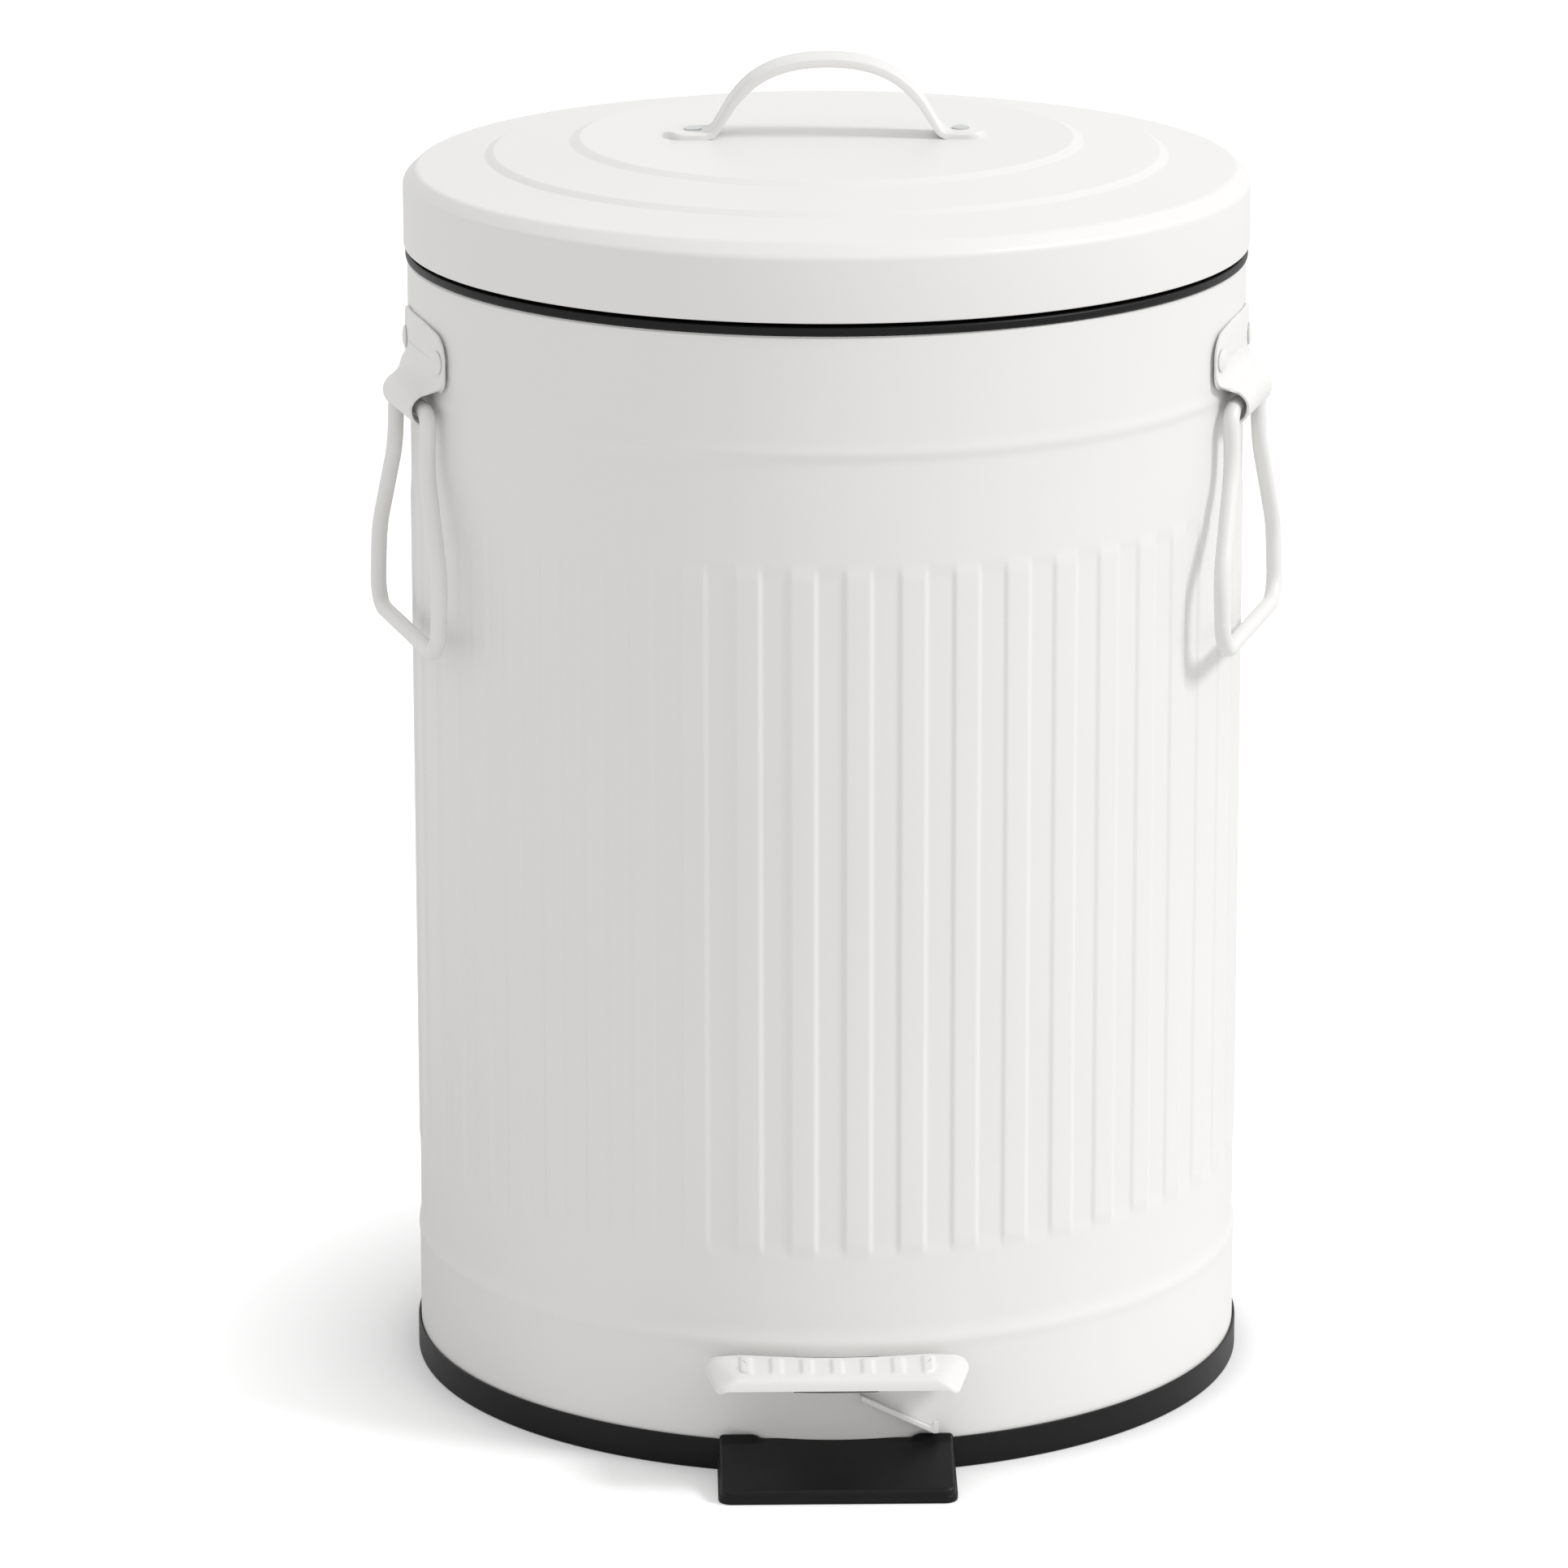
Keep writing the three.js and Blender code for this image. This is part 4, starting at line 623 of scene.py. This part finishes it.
# insets and depths from the middle of the plate's back over its edge to the middle of its front
plate_edge = [(9, 0), (6, 0), (0.2, 0), (0.05, 0.05), (0, 0.15), (0, 0.65), (0.06, 0.76),
              (0.2, 0.8), (6, 0.8), (9, 0.8)]
for side in BRACKET_TURN:
    plate = np.stack([plate_level(side, inset, depth) for inset, depth in plate_edge])
    plate_part = skin(f"{side}_plate", beside(side, plate[..., 0], plate[..., 1], plate[..., 2]),
                      rows="capped")
    bracket = skin(f"{side}_bracket_look", tongue(side), rows="capped", sharp=60)
    with bpy.context.temp_override(active_object=bracket,
                                   selected_editable_objects=[bracket, plate_part]):
        bpy.ops.object.join()
    finish(bracket, POWDER_COAT, "body", f"{side}_bracket")


# ---- side handles -----------------------------------------------------------------------
# Each is one length of 4.8 mm steel wire, bent to a loop whose legs spread, hang straight and
# lean a little outwards. The ends turn in behind the bracket's tongue. It is powder coated.
BAIL_LEAN = math.tan(math.radians(2))
EYE_RADIUS = 128.0
EYE_Z = 304.0
for side, turn in BRACKET_TURN.items():
    flat = filleted([
        (-7.0, EYE_Z), (-19.2, EYE_Z), (-19.2, 287.0), (-36.7, 258.0), (-36.7, 234.5),
        (36.7, 234.5), (36.7, 258.0), (19.2, 287.0), (19.2, EYE_Z), (7.0, EYE_Z),
    ], [0, 5.0, 22, 22, 9.0, 9.0, 22, 22, 5.0, 0], 14, closed=False)
    path = beside(side, EYE_RADIUS + BAIL_LEAN * (EYE_Z - flat[:, 1]), flat[:, 0], flat[:, 1])
    square = np.array([math.sin(turn), -math.cos(turn), BAIL_LEAN]) / math.hypot(1, BAIL_LEAN)
    bail = skin(f"{side}_bail_look", swept(path, circle(2.4, 24), square), rows="capped")
    finish(bail, POWDER_COAT, f"{side}_bail", f"{side}_bail")


# ---- rear hinge -------------------------------------------------------------------------
# A bracket bent from steel plate with two ears, riveted over the seam, and a zinc-plated pin
# with upset heads. The lid's arm is rolled round the pin between the ears.
eased_edges("hinge_bracket", 0.0003).data.materials.append(POWDER_COAT)
eased_edges("lid_hinge_arm", 0.0003).data.materials.append(POWDER_COAT)
eased_edges("hinge_pin", 0.0004).data.materials.append(ZINC_STEEL)


# ---- rivets -----------------------------------------------------------------------------
# Tubular steel rivets with low round heads. Those of the brackets are coated with the body,
# and the two of the lid's handle are bright steel, set after coating.
def rivet(name, node, seat, out, head, grip, material, body):
    """Low domed head on a shank with a rolled tail. The seat is the middle of the head's
    underside, the dome is the cap of a sphere, and the profile is turned about the way out."""
    out = np.array(out, float) / np.linalg.norm(out)
    share = np.linspace(0, 1, 9)
    dome = np.column_stack([head * (1 - share), 0.45 + 0.65 * (1 - (1 - share) ** 2)])
    profile = np.vstack([
        [(0, -grip - 0.9), (head * 0.62, -grip - 0.9), (head * 0.7, -grip - 0.5),
         (head * 0.62, -grip), (head * 0.5, -grip), (head * 0.5, 0), (head * 0.97, 0),
         (head, 0.08)], dome])
    first = np.cross(out, [0.0, 0.0, 1.0] if abs(out[2]) < 0.9 else [1.0, 0.0, 0.0])
    first /= np.linalg.norm(first)
    second = np.cross(out, first)
    angle = np.linspace(0, 2 * np.pi, 36, endpoint=False)[:, None]
    around = first * np.cos(angle) + second * np.sin(angle)
    grid = np.array(seat, float) + profile[:, None, :1] * around + profile[:, None, 1:] * out
    finish(skin(name, grid, rows="points", sharp=55), material, body, node)


def body_rivet(name, node, seat, turn, height):
    """White rivet through the body's wall: its seat's radius, turn from the front and height."""
    out = np.array([math.sin(turn), -math.cos(turn), 0])
    rivet(name, node, seat * out + [0, 0, height], out, 3.3, 3.0, POWDER_COAT,
          "body")


RIVET_ARC = 20.0 / 125.6
for side, turn in BRACKET_TURN.items():
    sign = math.copysign(1, turn)
    body_rivet(f"{side}_front_rivet_look", f"{side}_bracket_rivet_front", 126.95,
               turn - sign * RIVET_ARC, 319.25)
    body_rivet(f"{side}_rear_rivet_look", f"{side}_bracket_rivet_rear", 126.3,
               turn + sign * RIVET_ARC, 319.25)
    body_rivet(f"hinge_{side}_rivet_look", f"hinge_rivet_{side}", 126.62,
               math.pi - sign * RIVET_ARC / 2, 319.0)
    rivet(f"arm_{side}_rivet_look", f"hinge_arm_rivet_{side}", (sign * 5, 128.1, 355.0),
          (0, 1, 0), 2.5, 2.7, POWDER_COAT, "lid")
    rivet(f"grip_{side}_rivet_look", f"grip_rivet_{side}", (sign * 39.8, 0, 378.6),
          (0, 0, 1), 2.6, 2.8, ZINC_STEEL, "lid")


# ---- lid --------------------------------------------------------------------------------
# Pressed from one disc of steel sheet: a skirt, a round shoulder, a broad slope and two
# raised steps round the flat crown. Its lower edge is hemmed, and it is powder coated.
lid = skin("lid_look", turned(filleted([
    (0, 376.6), (73.4, 376.6), (76.5, 375.3), (99.2, 372.6), (101.7, 371.2), (122.2, 368.2),
    (126.2, 364.4), (126.2, 345.4), (125.0, 345.4), (125.0, 346.9), (125.4, 347.2),
    (125.4, 364.2), (121.8, 367.4), (101.5, 370.4), (99.0, 371.8), (76.2, 374.5),
    (73.2, 375.8), (0, 375.8),
], [0, 1.8, 1.6, 1.8, 1.6, 3.2, 2.6, 0.55, 0.55, 0.2, 0.2, 2.0, 2.5, 1.2, 1.4, 1.2, 1.4, 0], 8,
    closed=False), 256), rows="points")
finish(lid, POWDER_COAT, "lid", "lid")


# ---- lid liner --------------------------------------------------------------------------
# A disc of black plastic pressed into the lid. It hides the raw inside of the pressing.
liner = skin("lid_liner_look", turned(filleted([
    (0, 350.0), (60, 350.0), (62, 349.2), (66, 349.2), (68, 350.0), (122.2, 350.0),
    (123.4, 347.6), (125.1, 347.6), (125.1, 351.6), (0, 351.6),
], [0, 0.8, 0.8, 0.8, 0.8, 0.8, 0.6, 0.4, 0.4, 0], closed=False)), rows="points")
finish(liner, BLACK_PLASTIC, "lid", "lid_liner")


# ---- lid handle -------------------------------------------------------------------------
# A strap of coated steel 15 mm wide, bent up from two flat pads into an arch. Along the arch a
# groove is pressed near each side, and the two edges are turned down.
STRAP_HALF = 7.6
PAD_END = 46.7
PAD_Z = 377.6
ARCH_Z = 399.9


def grip_path():
    """Middle line of the strap from one pad's end to the other's: flat, a tight bend, then a
    cubic curve up to the crown."""
    t = np.linspace(0, 1, 40)[:, None]
    a, b = np.array([28.7, 386.5]), np.array([23.8, 394.1])
    c, d = np.array([16.0, ARCH_Z]), np.array([0.0, ARCH_Z])
    arch = (1 - t) ** 3 * a + 3 * (1 - t) ** 2 * t * b + 3 * (1 - t) * t * t * c + t ** 3 * d
    bend = filleted([(PAD_END, PAD_Z), (33.9, PAD_Z), a], [0, 3.6, 0], 10, closed=False)
    from_end = np.array([0, 0.25, 0.6, 1.1, 1.8, 2.7, 3.6, 5, 8])
    pad = np.column_stack([PAD_END - from_end, np.full(len(from_end), PAD_Z)])
    half = np.vstack([pad, bend[1:-1], arch])
    return np.vstack([half * [-1, 1], half[-2::-1]])


def grip_section():
    """Outline of the strap on the arch, as shares of its half width and millimetres of lift:
    a flat top with a groove near each side and a round edge, and an underside that is hollow
    between the two edges that turn down."""
    over, below = np.linspace(-1, 1, 41), np.linspace(0.985, -0.985, 25)
    top = (1 - 0.45 * np.exp(-((np.abs(over) - 0.66) / 0.085) ** 2)
           - 0.5 * eased((np.abs(over) - 0.93) / 0.07))
    under = -0.4 - 1.35 * eased((np.abs(below) - 0.72) / 0.16)
    return np.column_stack([np.concatenate([over, below]), np.concatenate([top, under])])


# on its way from a pad's end the strap widens to its full width, and its plain section turns
# into the arch's: first the grooves on top, then the edges
path = grip_path()
section = grip_section()
run = np.gradient(path, axis=0)
run /= np.linalg.norm(run, axis=1, keepdims=True)
inwards = PAD_END - np.abs(path[:, 0])
width = np.where(inwards < 4.0, 0.43 + 0.57 * np.sqrt(
    np.clip(1 - (1 - np.clip(inwards, 0, 4) / 4) ** 2, 0, 1)), 1.0)
groove = eased((inwards - 9) / 4)[:, None]
fold = eased((inwards - 13) / 9)[:, None]
pad_top = 1 - 0.75 * eased((np.abs(section[:, 0]) - 0.9) / 0.1)
lift = np.where(section[:, 1] > 0, section[:, 1] * groove + (1 - groove) * pad_top,
                -1 + fold * (section[:, 1] + 1))
grip = skin("lid_grip_look", np.stack([
    path[:, :1] - run[:, 1:] * lift, STRAP_HALF * width[:, None] * section[:, 0],
    path[:, 1:] + run[:, :1] * lift], -1), rows="capped", sharp=50)
finish(grip, POWDER_COAT, "lid", "lid_grip")


# ---- floor ------------------------------------------------------------------------------
# A white paper sweep under the bin. It is white to the camera where no shadow falls. The lift that
# makes it white fades towards the bin, which adds painted shade round the bin's base to its real
# soft shadow.
bpy.ops.mesh.primitive_plane_add(size=12, location=(0, 0, 0))
floor = bpy.context.object
floor.name = "floor"
paper = bpy.data.materials.new("white paper")
paper.use_nodes = True
paper_tree = paper.node_tree
paper_tree.nodes.remove(paper_tree.nodes["Principled BSDF"])
# painted shade: near the bin the camera's glow drops to this lower share, which darkens the paper
# round the base
NEAR_GLOW_FOR_PAINTED_SHADE = 0.2
FAR_SHARE = 0.45
lit = add_node(paper_tree, "ShaderNodeBsdfDiffuse", {"Color": (0.8, 0.8, 0.8, 1)})
seen = add_node(paper_tree, "ShaderNodeLightPath", {})
place = add_node(paper_tree, "ShaderNodeTexCoord", {})
from_bin = add_node(paper_tree, "ShaderNodeVectorMath", {
    "operation": "DISTANCE", 1: (0.0, AXIS_Y, 0.0)}, {0: place.outputs["Object"]})
# painted shade: the glow rises from the near share at 128 mm from the axis to the far share at 190
# mm, so the paper is darker round the base
glow_share_with_painted_shade = add_node(paper_tree, "ShaderNodeMapRange", {
    "From Min": 0.128, "From Max": 0.19, "To Min": NEAR_GLOW_FOR_PAINTED_SHADE, "To Max": FAR_SHARE},
    {"Value": from_bin.outputs["Value"]})
level = add_node(paper_tree, "ShaderNodeMath", {"operation": "MULTIPLY"},
                 {0: seen.outputs["Is Camera Ray"], 1: glow_share_with_painted_shade.outputs["Result"]})
glow = add_node(paper_tree, "ShaderNodeEmission", {}, {"Strength": level.outputs["Value"]})
total = add_node(paper_tree, "ShaderNodeAddShader", {},
                 {0: lit.outputs["BSDF"], 1: glow.outputs["Emission"]})
paper_tree.links.new(total.outputs["Shader"],
                     paper_tree.nodes["Material Output"].inputs["Surface"])
floor.data.materials.append(paper)


# ---- lights -----------------------------------------------------------------------------
# One soft key from the right, a little above the lid, and an even white surround.
world = bpy.data.worlds.new("surround")
bpy.context.scene.world = world
world.use_nodes = True
world_tree = world.node_tree
SURROUND = 0.742
sky = world_tree.nodes["Background"]
sky.inputs["Color"].default_value = (1, 1, 1, 1)
ray_kind = add_node(world_tree, "ShaderNodeLightPath", {})
seen_or_shiny = add_node(world_tree, "ShaderNodeMath", {"operation": "MAXIMUM"},
                         {0: ray_kind.outputs["Is Camera Ray"],
                          1: ray_kind.outputs["Is Glossy Ray"]})
direct = add_node(world_tree, "ShaderNodeMath", {"operation": "MAXIMUM"},
                  {0: seen_or_shiny.outputs["Value"],
                   1: ray_kind.outputs["Is Transmission Ray"]})
strength = add_node(world_tree, "ShaderNodeMapRange", {"To Min": SURROUND, "To Max": 1.0},
                    {"Value": direct.outputs["Value"]})
world_tree.links.new(strength.outputs["Result"], sky.inputs["Strength"])


key = bpy.data.lights.new("key", "SUN")
key.energy = 1.56
key.angle = math.radians(16)
key_holder = bpy.data.objects.new("key", key)
bpy.context.scene.collection.objects.link(key_holder)
KEY_HEIGHT = 41
KEY_TURN = 74
key_holder.rotation_euler = (math.radians(90 - KEY_HEIGHT), 0, math.radians(KEY_TURN))


# ---- camera -----------------------------------------------------------------------------
# A long lens 2.3 m away and 0.8 m up, as the photograph was taken. The shift puts the bin a
# little right of the frame's middle.
camera_data = bpy.data.cameras.new("camera")
camera_data.lens = 180.9
camera_data.sensor_width = 36.0
camera_data.shift_x = -0.0272
camera = bpy.data.objects.new("camera", camera_data)
camera.location = (-0.0525, -2.3131 + AXIS_Y, 0.79885)
camera.rotation_euler = (math.radians(74.95), 0, math.radians(-1.3))
bpy.context.scene.collection.objects.link(camera)
bpy.context.scene.camera = camera
bpy.context.scene.view_settings.view_transform = "Standard"
